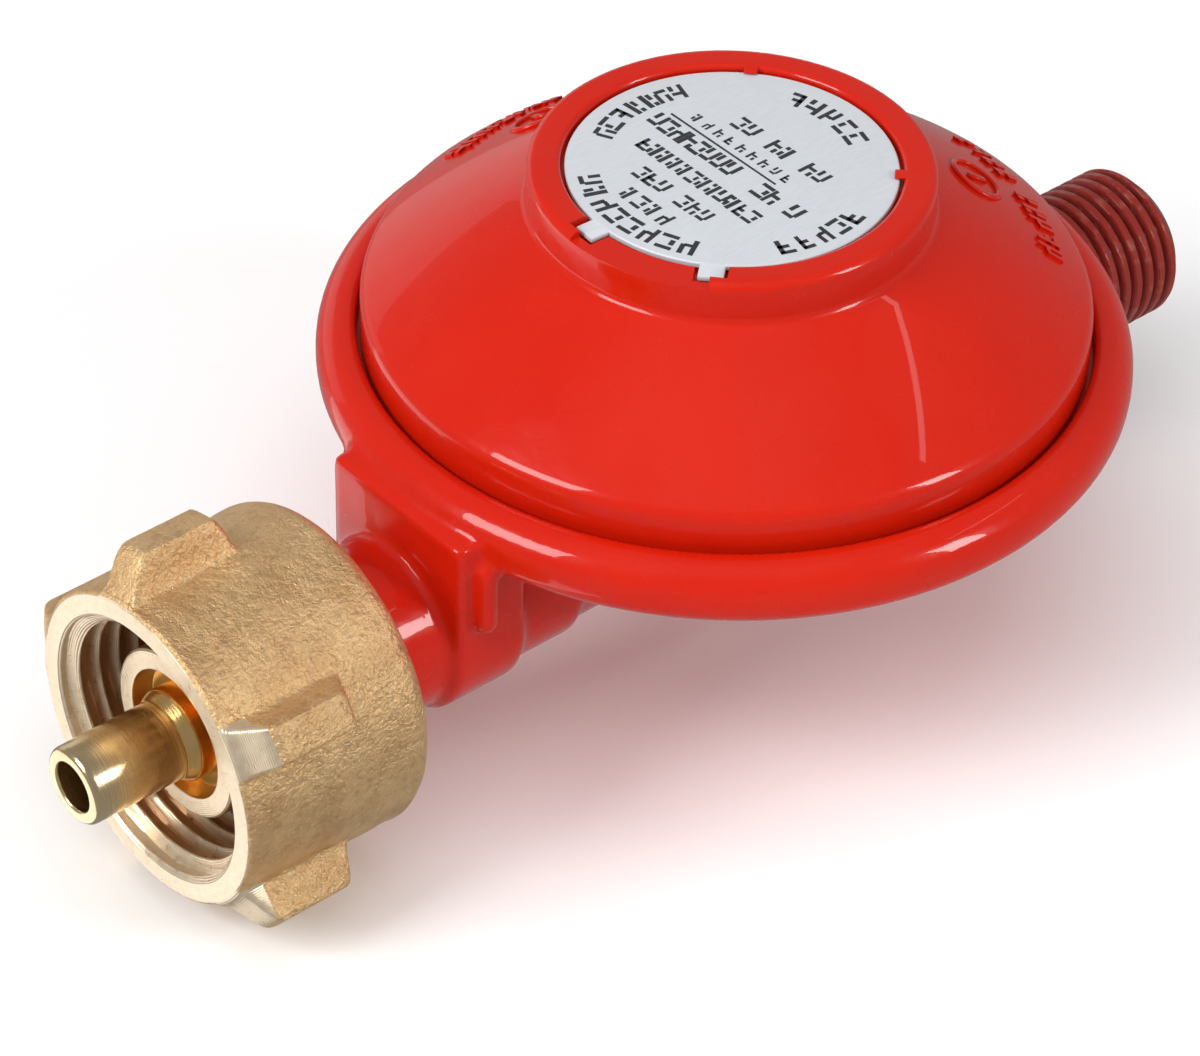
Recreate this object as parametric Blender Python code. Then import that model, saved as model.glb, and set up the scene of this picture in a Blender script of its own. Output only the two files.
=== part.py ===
"""Low-pressure gas regulator: a crimped two-shell housing with a winged union nut on its inlet.

Frame of the drawing, in metres: Z is the axis of the round housing, X the axis of the ports, with the
inlet towards -X and the outlet towards +X. Z = 0 is the lower edge of the crimped rim. Everything hangs
on one empty that puts the world origin at the middle of the bottom of the whole object.
"""

import math

import bmesh
import bpy
from mathutils import Matrix, Vector

MM = 0.001
GAP = 0.3 * MM  # clearance between pieces that touch on the real object
ROUND_STEPS = 48  # facets round the housing
SMALL_STEPS = 28  # facets round the turned pieces
TINY_STEPS = 16

# Housing, crimped rim
RIM_R = 32.2 * MM
RIM_TOP_Z = 5.1 * MM
LIP_R = 29.0 * MM  # inner edge of the lip that is rolled over the cover's flange
LIP_UNDER_Z = 3.9 * MM
GROOVE_R = 31.0 * MM
SHELF_Z = 1.0 * MM  # seat of the diaphragm's edge
FLOOR_Z = -11.6 * MM
BASE_Z = -15.0 * MM
BASE_R = 12.0 * MM

# Ports
PORT_Z = -8.5 * MM
OUTLET_X = 46.5 * MM
OUTLET_R = 6.58 * MM  # G 1/4 left hand, major radius
OUTLET_BORE_R = 3.0 * MM
OUTLET_BORE_START_X = 13.5 * MM
OUTLET_CONE_R = 4.9 * MM
OUTLET_CONE_DEPTH = 3.3 * MM
DUCT_R = 6.4 * MM
DUCT_X = (-27.0 * MM, 33.7 * MM)
NIPPLE_SHANK_R = 4.9 * MM
NIPPLE_START_X = 24.0 * MM
BLOCK_X = (-33.2 * MM, -26.5 * MM)
BLOCK_HALF_WIDTH = 7.7 * MM
BLOCK_TOP_Z = 2.9 * MM
RIB_X = (-32.0 * MM, -30.2 * MM)  # a rib on each side of the inlet block
RIB_HALF_WIDTH = 9.3 * MM
RIB_Z = (-5.5 * MM, 1.5 * MM)
BOSS_R = 6.95 * MM
BOSS_END_X = -39.5 * MM
BOSS_START_X = -20.0 * MM
STEM_BORE_R = 4.8 * MM
STEM_BORE_END_X = -28.4 * MM
GASKET_BORE_R = 6.0 * MM
GASKET_DEPTH = 1.6 * MM
INLET_BORE_R = 2.6 * MM
VALVE_BORE_R = 3.5 * MM
VALVE_BORE_X = (-18.0 * MM, -3.2 * MM)
TOWER_R = 5.2 * MM
TOWER_START_X = -26.0 * MM
CROSS_PORT_X = -9.2 * MM
CROSS_PORT_R = 1.2 * MM

# Cover
COVER_WALL = 1.9 * MM
STEP_R = 28.7 * MM
STEP_Z = 8.1 * MM
FLANGE_R = GROOVE_R - GAP
FLANGE_TOP_Z = LIP_UNDER_Z - GAP
FLANGE_THICK = 1.2 * MM
CROWN_TOP_R = 16.4 * MM
CROWN_TOP_Z = 15.9 * MM
CROWN_BULGE = 0.35 * MM
COLLAR_R = 15.85 * MM
COLLAR_TOP_Z = 19.7 * MM
COLLAR_ROUND = 0.6 * MM
POCKET_R = 13.2 * MM
POCKET_Z = 18.55 * MM
SCREW_BORE_R = 9.3 * MM
SCREW_BORE_START_Z = 13.2 * MM
NOTCH_ANGLES = (-182.0, -138.0)  # slots for the plate's tabs, degrees from +X towards +Y
NOTCH_WIDTH = 2.6 * MM
NOTCH_R = 14.9 * MM
LOW_SECTOR_Z = 19.15 * MM  # top of the collar between the two slots
BREATHER_R = 0.8 * MM
BREATHER_ANGLE = 50.0
BREATHER_OUT_R = 22.0 * MM

# Name plate, adjusting screw, spring
PLATE_R = 12.9 * MM
PLATE_Z = (POCKET_Z + GAP, 19.35 * MM)
PLATE_TAB_R = 14.5 * MM
PLATE_TAB_WIDTH = 2.0 * MM
ADJUSTER_R = 8.9 * MM
ADJUSTER_Z = (15.6 * MM, 17.9 * MM)
KEY_SOCKET_R = 3.4 * MM
KEY_SOCKET_DEPTH = 1.4 * MM
SEAT_R = 8.0 * MM
SEAT_Z = (14.2 * MM, 15.3 * MM)
SPRING_Z = (2.2 * MM, 13.9 * MM)
SPRING_R = 6.6 * MM
SPRING_WIRE_R = 0.6 * MM
SPRING_TURNS = 4.5

# Diaphragm and its plates at rest, valve open
DIAPHRAGM_THICK = 0.8 * MM
DIAPHRAGM_EDGE_Z = SHELF_Z + GAP
DIAPHRAGM_MID_Z = -0.2 * MM
CONVOLUTION_R = (19.5 * MM, 25.5 * MM)
UPPER_PLATE_R = 18.5 * MM
UPPER_PLATE_Z = (0.9 * MM, 1.9 * MM)
LOWER_PLATE_R = 7.3 * MM
LOWER_PLATE_Z = (-1.5 * MM, -0.5 * MM)
SHANK_R = 1.8 * MM
SHANK_HOLE_R = SHANK_R + GAP
SHANK_TOP_Z = 4.9 * MM
STEM_NUT_Z = (2.2 * MM, 4.4 * MM)
STEM_NUT_R = 3.3 * MM
HOOK_R = 2.2 * MM
HOOK_BOTTOM_Z = -5.9 * MM
HOOK_SLOT_HALF = 1.2 * MM

# Lever: long arm to the diaphragm stem, short arm to the plunger, in the ratio 2 to 1
PIVOT_X = 10.0 * MM
PIVOT_Z = -3.5 * MM
PIN_R = 1.0 * MM
PIN_HALF_LENGTH = 4.9 * MM
PIN_HOLE_R = 1.1 * MM
HUB_R = 2.0 * MM
HUB_HALF_WIDTH = 2.6 * MM
ARM_THICK = 1.2 * MM
ARM_HALF_WIDTH = 1.9 * MM
FOOT_Z = -9.2 * MM
FOOT_THICK = 1.6 * MM
BRACKET_EAR_Y = (3.0 * MM, 4.0 * MM)
BRACKET_HALF_WIDTH = 7.9 * MM
BRACKET_HALF_LENGTH = 2.0 * MM
BRACKET_BASE_Z = (FLOOR_Z + GAP, -10.4 * MM)
BRACKET_TOP_Z = -1.9 * MM
BRACKET_SCREW_Y = 6.05 * MM
BRACKET_SCREW_R = 1.0 * MM
BRACKET_HEAD_R = 1.7 * MM
BRACKET_HEAD_HEIGHT = 1.4 * MM
BRACKET_SCREW_END_Z = -13.6 * MM

# Valve
SEAT_INSERT_X = (-17.7 * MM, -10.0 * MM)
SEAT_SHOULDER = 2.4 * MM  # length of the cone behind the seat's nose
SEAT_NOSE_R = (2.4 * MM, 1.7 * MM)
SEAT_NOSE = 1.6 * MM
ORIFICE_R = 1.1 * MM
PAD_X = (-8.4 * MM, -7.2 * MM)
PAD_R = 2.4 * MM
PLUNGER_HEAD_X = (-7.9 * MM, -4.2 * MM)
PLUNGER_HEAD_R = 3.3 * MM
PLUNGER_ROD_R = 1.3 * MM
PLUNGER_TIP_R = 0.9 * MM
PLUNGER_END_X = 8.8 * MM

# Inlet stem
STEM_TIP_X = -63.65 * MM
STEM_TIP_R = 3.2 * MM
STEM_END_X = -29.0 * MM
STEM_THREAD_R = 4.5 * MM
STEM_BORE = 2.05 * MM
HUB_START_X = -55.4 * MM
STEM_HUB_R = 3.8 * MM
COLLAR_X = (-54.3 * MM, -48.2 * MM)
STEM_COLLAR_R = 7.0 * MM
COLLAR_RECESS_R = 5.1 * MM
COLLAR_RECESS = 1.8 * MM
NECK_R = 5.0 * MM
GASKET_R = (4.8 * MM, 5.7 * MM)
GASKET_X = (-39.2 * MM, -38.2 * MM)
FILTER_X = (-27.7 * MM, -23.5 * MM)
FILTER_R = (1.5 * MM, 2.3 * MM)

# Union nut, W 21.8 x 1/14 left hand
NUT_X = (-57.0 * MM, -39.8 * MM)
NUT_FRONT_R = 12.9 * MM
NUT_REAR_R = 13.4 * MM
NUT_REAR_ROUND = 1.8 * MM
NUT_MOUTH_R = 11.1 * MM
NUT_THREAD_R = 10.4 * MM
NUT_WEB_X = -44.8 * MM
NUT_HOLE_R = NECK_R + GAP
WING_COUNT = 5
WING_FIRST_ANGLE = 32.0  # degrees from -Y towards +Z
WING_ROOT_R = 12.2 * MM
WING_TIP_R = 16.2 * MM
WING_ROOT_THICK = 3.6 * MM
WING_TIP_THICK = 2.6 * MM
WING_ROOT_X = (-56.9 * MM, -46.6 * MM)
WING_TIP_X = (-54.8 * MM, -47.9 * MM)

BODY_CENTRE_X = (STEM_TIP_X + OUTLET_X) / 2


def lowest_wing_z():
    """The height of the lowest corner of the nut's wings."""
    lows = []
    for index in range(WING_COUNT):
        angle = math.radians(WING_FIRST_ANGLE + 360 / WING_COUNT * index)
        for side in (-1, 1):
            lows.append(WING_TIP_R * math.sin(angle) + side * WING_TIP_THICK / 2 * math.cos(angle))
    return PORT_Z + min(lows)


ORIGIN_LIFT = -lowest_wing_z()


def clear_scene():
    for obj in list(bpy.data.objects):
        bpy.data.objects.remove(obj, do_unlink=True)


def material(name, colour, roughness, metallic):
    made = bpy.data.materials.new(name)
    made.use_nodes = True
    shader = made.node_tree.nodes["Principled BSDF"]
    shader.inputs["Base Color"].default_value = (*colour, 1)
    shader.inputs["Roughness"].default_value = roughness
    shader.inputs["Metallic"].default_value = metallic
    return made


def new_object(name, bm, finish=None, origin=(0, 0, 0)):
    """An object from a bmesh drawn in the drawing's frame, with its own origin put at the point given."""
    bmesh.ops.recalc_face_normals(bm, faces=bm.faces)
    bm.transform(Matrix.Translation(-Vector(origin)))
    mesh = bpy.data.meshes.new(name)
    bm.to_mesh(mesh)
    bm.free()
    mesh.shade_smooth()
    mesh.set_sharp_from_angle(angle=math.radians(35))
    obj = bpy.data.objects.new(name, mesh)
    obj.location = origin
    bpy.context.scene.collection.objects.link(obj)
    if finish:
        mesh.materials.append(finish)
    else:
        obj.hide_render = True
        obj.display_type = "WIRE"
    return obj


def arc(centre, radius, start, end, steps):
    """Points on an arc in the plane of a turned profile, angles in degrees."""
    points = []
    for step in range(steps + 1):
        angle = math.radians(start + (end - start) * step / steps)
        points.append((centre[0] + radius * math.cos(angle), centre[1] + radius * math.sin(angle)))
    return points


def turned(profile, steps):
    """A closed solid turned about Z from (radius, height) points; radius 0 points close on the axis."""
    bm = bmesh.new()
    rings = []
    for radius, height in profile:
        if radius <= 1e-9:
            rings.append([bm.verts.new((0, 0, height))])
            continue
        ring = []
        for step in range(steps):
            angle = 2 * math.pi * step / steps
            ring.append(bm.verts.new((radius * math.cos(angle), radius * math.sin(angle), height)))
        rings.append(ring)
    closed = profile[0][0] > 1e-9
    pairs = list(zip(rings, rings[1:])) + ([(rings[-1], rings[0])] if closed else [])
    for first, second in pairs:
        for step in range(steps):
            after = (step + 1) % steps
            corners = [first[step % len(first)], first[after % len(first)]]
            corners += [second[after % len(second)], second[step % len(second)]]
            corners = list(dict.fromkeys(corners))
            if len(corners) > 2:
                bm.faces.new(corners)
    return bm


def along_x(bm):
    """Turns a shape drawn about Z so that its height runs along +X on the port axis."""
    bm.transform(Matrix.Translation((0, 0, PORT_Z)) @ Matrix.Rotation(math.pi / 2, 4, "Y"))
    return bm


def port_turned(profile, steps):
    """A solid turned about the port axis from (radius, x) points."""
    return along_x(turned(profile, steps))


def rod(radius, low, high):
    return [(0, low), (radius, low), (radius, high), (0, high)]


def ring(inner, outer, low, high):
    return [(inner, low), (outer, low), (outer, high), (inner, high)]


def box(low, high):
    bm = bmesh.new()
    bmesh.ops.create_cube(bm, size=1)
    size = Vector(high) - Vector(low)
    middle = (Vector(high) + Vector(low)) / 2
    bm.transform(Matrix.Translation(middle) @ Matrix.Diagonal((*size, 1)))
    return bm


def extruded(outline, low, high, plane):
    """A prism of an outline: plane X takes (y, z) points and runs along X, plane Y takes (x, z) points."""
    bm = bmesh.new()
    if plane == "X":
        ends = [[bm.verts.new((at, a, b)) for a, b in outline] for at in (low, high)]
    else:
        ends = [[bm.verts.new((a, at, b)) for a, b in outline] for at in (low, high)]
    for end in ends:
        bm.faces.new(end)
    for step in range(len(outline)):
        after = (step + 1) % len(outline)
        bm.faces.new([ends[0][step], ends[0][after], ends[1][after], ends[1][step]])
    return bm


def cross_rod(radius, half_length, x, z, steps):
    """A rod along Y."""
    bm = turned(rod(radius, -half_length, half_length), steps)
    bm.transform(Matrix.Translation((x, 0, z)) @ Matrix.Rotation(math.pi / 2, 4, "X"))
    return bm


def combine(target, operation, helper):
    """Applies a Boolean of the helper to the target, then removes the helper."""
    bpy.context.view_layer.update()
    modifier = target.modifiers.new(operation.title(), "BOOLEAN")
    modifier.operation = operation
    modifier.solver = "EXACT"
    modifier.object = helper
    bpy.context.view_layer.update()
    graph = bpy.context.evaluated_depsgraph_get()
    result = bpy.data.meshes.new_from_object(target.evaluated_get(graph), depsgraph=graph)
    target.modifiers.clear()
    old = target.data
    target.data = result
    result.name = target.name
    bpy.data.meshes.remove(old)
    bpy.data.objects.remove(helper, do_unlink=True)


def join(target, *shapes):
    for shape in shapes:
        combine(target, "UNION", new_object("joined_shape", shape))


def cut(target, *shapes):
    for shape in shapes:
        combine(target, "DIFFERENCE", new_object("cutter", shape))


def housing_outline():
    """Outer profile of the lower body, from the bottom of its axis over the rolled rim."""
    bead_low = arc((29.9 * MM, 2.05 * MM), 2.3 * MM, -80, 0, 4)
    bead_high = arc((29.6 * MM, 2.5 * MM), 2.6 * MM, 0, 90, 4)
    return [
        (0, BASE_Z),
        (BASE_R, BASE_Z),
        (13.5 * MM, -14.3 * MM),
        (17.5 * MM, -11.2 * MM),
        (23.3 * MM, -6.4 * MM),
        (28.4 * MM, -1.9 * MM),
        *bead_low,
        *bead_high,
        (0, RIM_TOP_Z),
    ]


def cavity_outline():
    """Gas chamber, diaphragm shelf and crimp groove, as the shape that is cut out of the lower body."""
    return [
        (0, FLOOR_Z),
        (14.3 * MM, FLOOR_Z),
        (16.3 * MM, -10.0 * MM),
        (21.0 * MM, -5.6 * MM),
        (26.0 * MM, -1.0 * MM),
        (26.6 * MM, SHELF_Z),
        (GROOVE_R, SHELF_Z),
        (GROOVE_R, LIP_UNDER_Z),
        (LIP_R, LIP_UNDER_Z),
        (LIP_R, RIM_TOP_Z + 3 * MM),
        (0, RIM_TOP_Z + 3 * MM),
    ]


def inlet_block_outline():
    """U-shaped section of the inlet block as (y, z): flat sides above the port axis, round below it."""
    lower = arc((0, PORT_Z), BLOCK_HALF_WIDTH, 180, 360, 12)
    return [(-BLOCK_HALF_WIDTH, BLOCK_TOP_Z)] + lower + [(BLOCK_HALF_WIDTH, BLOCK_TOP_Z)]


def lower_body(finish):
    made = new_object("lower_body", turned(housing_outline(), ROUND_STEPS), finish)
    join(
        made,
        extruded(inlet_block_outline(), *BLOCK_X, "X"),
        port_turned(rod(DUCT_R, *DUCT_X), SMALL_STEPS),
        port_turned(rod(BOSS_R, BOSS_END_X, BOSS_START_X), SMALL_STEPS),
        box((RIB_X[0], -RIB_HALF_WIDTH, RIB_Z[0]), (RIB_X[1], RIB_HALF_WIDTH, RIB_Z[1])),
    )
    cut(made, turned(cavity_outline(), ROUND_STEPS))
    join(made, port_turned(rod(TOWER_R, TOWER_START_X, VALVE_BORE_X[1]), SMALL_STEPS))
    outlet_cutter = [
        (0, OUTLET_BORE_START_X),
        (OUTLET_BORE_R, OUTLET_BORE_START_X),
        (OUTLET_BORE_R, NIPPLE_START_X - GAP),
        (NIPPLE_SHANK_R + GAP, NIPPLE_START_X - GAP),
        (NIPPLE_SHANK_R + GAP, DUCT_X[1] + MM),
        (0, DUCT_X[1] + MM),
    ]
    inlet_cutter = [
        (0, BOSS_END_X - MM),
        (GASKET_BORE_R, BOSS_END_X - MM),
        (GASKET_BORE_R, BOSS_END_X + GASKET_DEPTH),
        (STEM_BORE_R, BOSS_END_X + GASKET_DEPTH),
        (STEM_BORE_R, STEM_BORE_END_X),
        (INLET_BORE_R, STEM_BORE_END_X),
        (INLET_BORE_R, VALVE_BORE_X[0]),
        (VALVE_BORE_R, VALVE_BORE_X[0]),
        (VALVE_BORE_R, VALVE_BORE_X[1] + MM),
        (0, VALVE_BORE_X[1] + MM),
    ]
    cross_port = turned(rod(CROSS_PORT_R, PORT_Z, PORT_Z + 2 * TOWER_R), TINY_STEPS)
    cross_port.transform(Matrix.Translation((CROSS_PORT_X, 0, 0)))
    cut(made, port_turned(outlet_cutter, SMALL_STEPS), port_turned(inlet_cutter, SMALL_STEPS), cross_port)
    for side in (-1, 1):
        hole = turned(rod(BRACKET_SCREW_R + GAP, BRACKET_SCREW_END_Z - GAP, FLOOR_Z + MM), TINY_STEPS)
        hole.transform(Matrix.Translation((PIVOT_X, side * BRACKET_SCREW_Y, 0)))
        cut(made, hole)
    return made


def crown_line(start, end, bulge, steps):
    """Points of the slightly domed crown between two (radius, height) points."""
    span = Vector(end) - Vector(start)
    out = Vector((span.y, -span.x)).normalized()
    if out.y < 0:
        out = -out
    points = []
    for step in range(steps + 1):
        share = step / steps
        points.append(tuple(Vector(start) + span * share + out * bulge * 4 * share * (1 - share)))
    return points


def upper_cover(finish):
    outer = [
        (FLANGE_R, FLANGE_TOP_Z - FLANGE_THICK),
        (FLANGE_R, FLANGE_TOP_Z),
        (STEP_R, FLANGE_TOP_Z),
        (STEP_R, STEP_Z - 0.9 * MM),
        (STEP_R - 0.25 * MM, STEP_Z - 0.25 * MM),
        *crown_line((STEP_R - 0.9 * MM, STEP_Z + 0.35 * MM), (CROWN_TOP_R + 0.4 * MM, CROWN_TOP_Z - 0.2 * MM),
                    CROWN_BULGE, 4),
        (COLLAR_R + 0.15 * MM, CROWN_TOP_Z + 0.4 * MM),
        (COLLAR_R, CROWN_TOP_Z + 1.0 * MM),
        *arc((COLLAR_R - COLLAR_ROUND, COLLAR_TOP_Z - COLLAR_ROUND), COLLAR_ROUND, 0, 90, 3),
        (POCKET_R, COLLAR_TOP_Z),
        (POCKET_R, POCKET_Z),
        (SCREW_BORE_R, POCKET_Z),
        (SCREW_BORE_R, SCREW_BORE_START_Z),
        (CROWN_TOP_R - COVER_WALL, SCREW_BORE_START_Z),
        (STEP_R - 1.6 * COVER_WALL, STEP_Z - 1.1 * COVER_WALL),
        (STEP_R - COVER_WALL, FLANGE_TOP_Z),
        (STEP_R - COVER_WALL, FLANGE_TOP_Z - FLANGE_THICK),
    ]
    made = new_object("upper_cover", turned(outer, ROUND_STEPS), finish)
    for angle in NOTCH_ANGLES:
        notch = box(
            (POCKET_R - MM, -NOTCH_WIDTH / 2, POCKET_Z - 0.1 * MM),
            (NOTCH_R, NOTCH_WIDTH / 2, COLLAR_TOP_Z + MM),
        )
        notch.transform(Matrix.Rotation(math.radians(angle), 4, "Z"))
        cut(made, notch)
    start, end = (math.radians(angle) for angle in NOTCH_ANGLES)
    reach = 2 * COLLAR_R
    bm = bmesh.new()
    corners = [(0, 0), (reach * math.cos(start), reach * math.sin(start))]
    corners.append((reach * math.cos((start + end) / 2), reach * math.sin((start + end) / 2)))
    corners.append((reach * math.cos(end), reach * math.sin(end)))
    points = [bm.verts.new((x, y, z)) for z in (LOW_SECTOR_Z, COLLAR_TOP_Z + MM) for x, y in corners]
    bmesh.ops.convex_hull(bm, input=points)
    cut(made, bm)
    breather = turned(rod(BREATHER_R, STEP_Z - 4 * MM, CROWN_TOP_Z), TINY_STEPS)
    turn = Matrix.Rotation(math.radians(BREATHER_ANGLE), 4, "Z")
    breather.transform(turn @ Matrix.Translation((BREATHER_OUT_R, 0, 0)))
    cut(made, breather)
    return made


def spring(name, finish):
    """A round-wire compression spring about Z with a cap on each cut end."""
    wire_sides = 6
    steps = round(SPRING_TURNS * 12)
    low, high = SPRING_Z[0] + SPRING_WIRE_R, SPRING_Z[1] - SPRING_WIRE_R
    bm = bmesh.new()
    rings = []
    for step in range(steps + 1):
        share = step / steps
        angle = 2 * math.pi * SPRING_TURNS * share
        out = Vector((math.cos(angle), math.sin(angle), 0))
        centre = out * SPRING_R + Vector((0, 0, low + (high - low) * share))
        section = []
        for side in range(wire_sides):
            round_angle = 2 * math.pi * side / wire_sides
            offset = out * math.cos(round_angle) + Vector((0, 0, math.sin(round_angle)))
            section.append(bm.verts.new(centre + offset * SPRING_WIRE_R))
        rings.append(section)
    for first, second in zip(rings, rings[1:]):
        for side in range(wire_sides):
            after = (side + 1) % wire_sides
            bm.faces.new([first[side], first[after], second[after], second[side]])
    bm.faces.new(rings[0])
    bm.faces.new(rings[-1])
    return new_object(name, bm, finish)


def diaphragm(finish):
    """A moulded rubber sheet: clamped edge, half-round convolution and flat middle with a hole."""
    edge, middle, thick = DIAPHRAGM_EDGE_Z, DIAPHRAGM_MID_Z, DIAPHRAGM_THICK
    inner, outer = CONVOLUTION_R
    steps = 6
    lower = [(SHANK_HOLE_R, middle)]
    for step in range(steps + 1):
        share = step / steps
        wave = 1.6 * MM * math.sin(math.pi * share)
        height = middle + (edge - middle) * share + wave
        lower.append((inner + (outer - inner) * share, height))
    lower.append((FLANGE_R, edge))
    upper = [(radius, height + thick) for radius, height in reversed(lower)]
    return new_object("diaphragm", turned(lower + upper, ROUND_STEPS), finish)


def hexagon_nut(name, radius, hole, low, high, finish):
    bm = turned(rod(radius, low, high), 6)
    made = new_object(name, bm, finish)
    cut(made, turned(rod(hole, low - MM, high + MM), TINY_STEPS))
    return made


def diaphragm_stem(finish):
    profile = [
        (0, HOOK_BOTTOM_Z),
        (HOOK_R, HOOK_BOTTOM_Z),
        (HOOK_R, LOWER_PLATE_Z[0] - 0.8 * MM),
        (HOOK_R + MM, LOWER_PLATE_Z[0] - 0.8 * MM),
        (HOOK_R + MM, LOWER_PLATE_Z[0] - GAP),
        (SHANK_R, LOWER_PLATE_Z[0] - GAP),
        (SHANK_R, SHANK_TOP_Z),
        (0, SHANK_TOP_Z),
    ]
    made = new_object("diaphragm_stem", turned(profile, TINY_STEPS), finish)
    slot_low = PIVOT_Z - HOOK_SLOT_HALF
    cut(
        made,
        box((-1.3 * MM, -4 * MM, slot_low), (4 * MM, 4 * MM, PIVOT_Z + HOOK_SLOT_HALF)),
        box((0.9 * MM, -4 * MM, HOOK_BOTTOM_Z - MM), (4 * MM, 4 * MM, slot_low + 0.1 * MM)),
    )
    return made


def lever(finish):
    origin = (PIVOT_X, 0, PIVOT_Z)
    made = new_object("lever", cross_rod(HUB_R, HUB_HALF_WIDTH, PIVOT_X, PIVOT_Z, TINY_STEPS), finish)
    join(
        made,
        box(
            (0, -ARM_HALF_WIDTH, PIVOT_Z - ARM_THICK / 2),
            (PIVOT_X, ARM_HALF_WIDTH, PIVOT_Z + ARM_THICK / 2),
        ),
        cross_rod(0.8 * MM, ARM_HALF_WIDTH + 0.1 * MM, 0, PIVOT_Z, TINY_STEPS),
        box(
            (PIVOT_X - FOOT_THICK / 2, -ARM_HALF_WIDTH, FOOT_Z),
            (PIVOT_X + FOOT_THICK / 2, ARM_HALF_WIDTH, PIVOT_Z),
        ),
    )
    cut(made, cross_rod(PIN_HOLE_R, HUB_HALF_WIDTH + MM, PIVOT_X, PIVOT_Z, TINY_STEPS))
    made.data.transform(Matrix.Translation(-Vector(origin)))
    made.location = origin
    return made


def lever_bracket(finish):
    low, top = BRACKET_BASE_Z
    made = new_object(
        "lever_bracket",
        box(
            (PIVOT_X - BRACKET_HALF_LENGTH, -BRACKET_HALF_WIDTH, low),
            (PIVOT_X + BRACKET_HALF_LENGTH, BRACKET_HALF_WIDTH, top),
        ),
        finish,
    )
    for side in (-1, 1):
        near, far = sorted(side * y for y in BRACKET_EAR_Y)
        join(
            made,
            box(
                (PIVOT_X - BRACKET_HALF_LENGTH + 0.2 * MM, near, low + 0.1 * MM),
                (PIVOT_X + BRACKET_HALF_LENGTH - 0.2 * MM, far, BRACKET_TOP_Z),
            ),
        )
        hole = turned(rod(BRACKET_SCREW_R + GAP, low - MM, top + MM), TINY_STEPS)
        hole.transform(Matrix.Translation((PIVOT_X, side * BRACKET_SCREW_Y, 0)))
        cut(made, hole)
    cut(made, cross_rod(PIN_HOLE_R + 0.1 * MM, BRACKET_HALF_WIDTH, PIVOT_X, PIVOT_Z, TINY_STEPS))
    return made


def bracket_screw(name, side, finish):
    seat = BRACKET_BASE_Z[1] + GAP
    head = seat + BRACKET_HEAD_HEIGHT
    profile = [
        (0, BRACKET_SCREW_END_Z),
        (BRACKET_SCREW_R, BRACKET_SCREW_END_Z),
        (BRACKET_SCREW_R, seat),
        (BRACKET_HEAD_R, seat),
        (BRACKET_HEAD_R, head - 0.4 * MM),
        (BRACKET_HEAD_R - 0.5 * MM, head),
        (0, head),
    ]
    bm = turned(profile, TINY_STEPS)
    bm.transform(Matrix.Translation((PIVOT_X, side * BRACKET_SCREW_Y, 0)))
    made = new_object(name, bm, finish)
    slot = box((-2.5 * MM, -0.3 * MM, head - 0.6 * MM), (2.5 * MM, 0.3 * MM, head + MM))
    slot.transform(Matrix.Translation((PIVOT_X, side * BRACKET_SCREW_Y, 0)))
    cut(made, slot)
    return made


def plunger(finish):
    front, back = PLUNGER_HEAD_X
    profile = [
        (0, PAD_X[1] + GAP),
        (PAD_R + GAP, PAD_X[1] + GAP),
        (PAD_R + GAP, front),
        (PLUNGER_HEAD_R, front),
        (PLUNGER_HEAD_R, back - 0.6 * MM),
        (PLUNGER_HEAD_R - 0.6 * MM, back),
        (PLUNGER_ROD_R, back),
        (PLUNGER_ROD_R, PLUNGER_END_X - 1.2 * MM),
        (PLUNGER_TIP_R, PLUNGER_END_X - 0.3 * MM),
        (PLUNGER_TIP_R - 0.3 * MM, PLUNGER_END_X),
        (0, PLUNGER_END_X),
    ]
    return new_object("valve_plunger", port_turned(profile, TINY_STEPS), finish)


def seat_insert(finish):
    start, nose = SEAT_INSERT_X
    profile = [
        (ORIFICE_R, start),
        (VALVE_BORE_R - GAP, start),
        (VALVE_BORE_R - GAP, nose - SEAT_SHOULDER),
        (SEAT_NOSE_R[0], nose - SEAT_NOSE),
        (SEAT_NOSE_R[1], nose),
        (ORIFICE_R, nose),
    ]
    return new_object("seat_insert", port_turned(profile, SMALL_STEPS), finish)


def inlet_stem(finish):
    front, back = COLLAR_X
    chamfer = 0.5 * MM
    profile = [
        (STEM_BORE, STEM_TIP_X),
        (STEM_TIP_R - chamfer, STEM_TIP_X),
        (STEM_TIP_R, STEM_TIP_X + chamfer),
        (STEM_TIP_R, HUB_START_X),
        (STEM_HUB_R, HUB_START_X + MM),
        (STEM_HUB_R, front + COLLAR_RECESS),
        (COLLAR_RECESS_R, front + COLLAR_RECESS),
        (COLLAR_RECESS_R + 0.3 * MM, front),
        (STEM_COLLAR_R - 0.3 * MM, front),
        (STEM_COLLAR_R, front + 0.3 * MM),
        (STEM_COLLAR_R, back),
        (NECK_R, back),
        (NECK_R, BOSS_END_X),
        (STEM_THREAD_R, BOSS_END_X),
        (STEM_THREAD_R, STEM_END_X - chamfer),
        (STEM_THREAD_R - chamfer, STEM_END_X),
        (STEM_BORE, STEM_END_X),
    ]
    return new_object("inlet_stem", port_turned(profile, SMALL_STEPS), finish)


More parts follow.
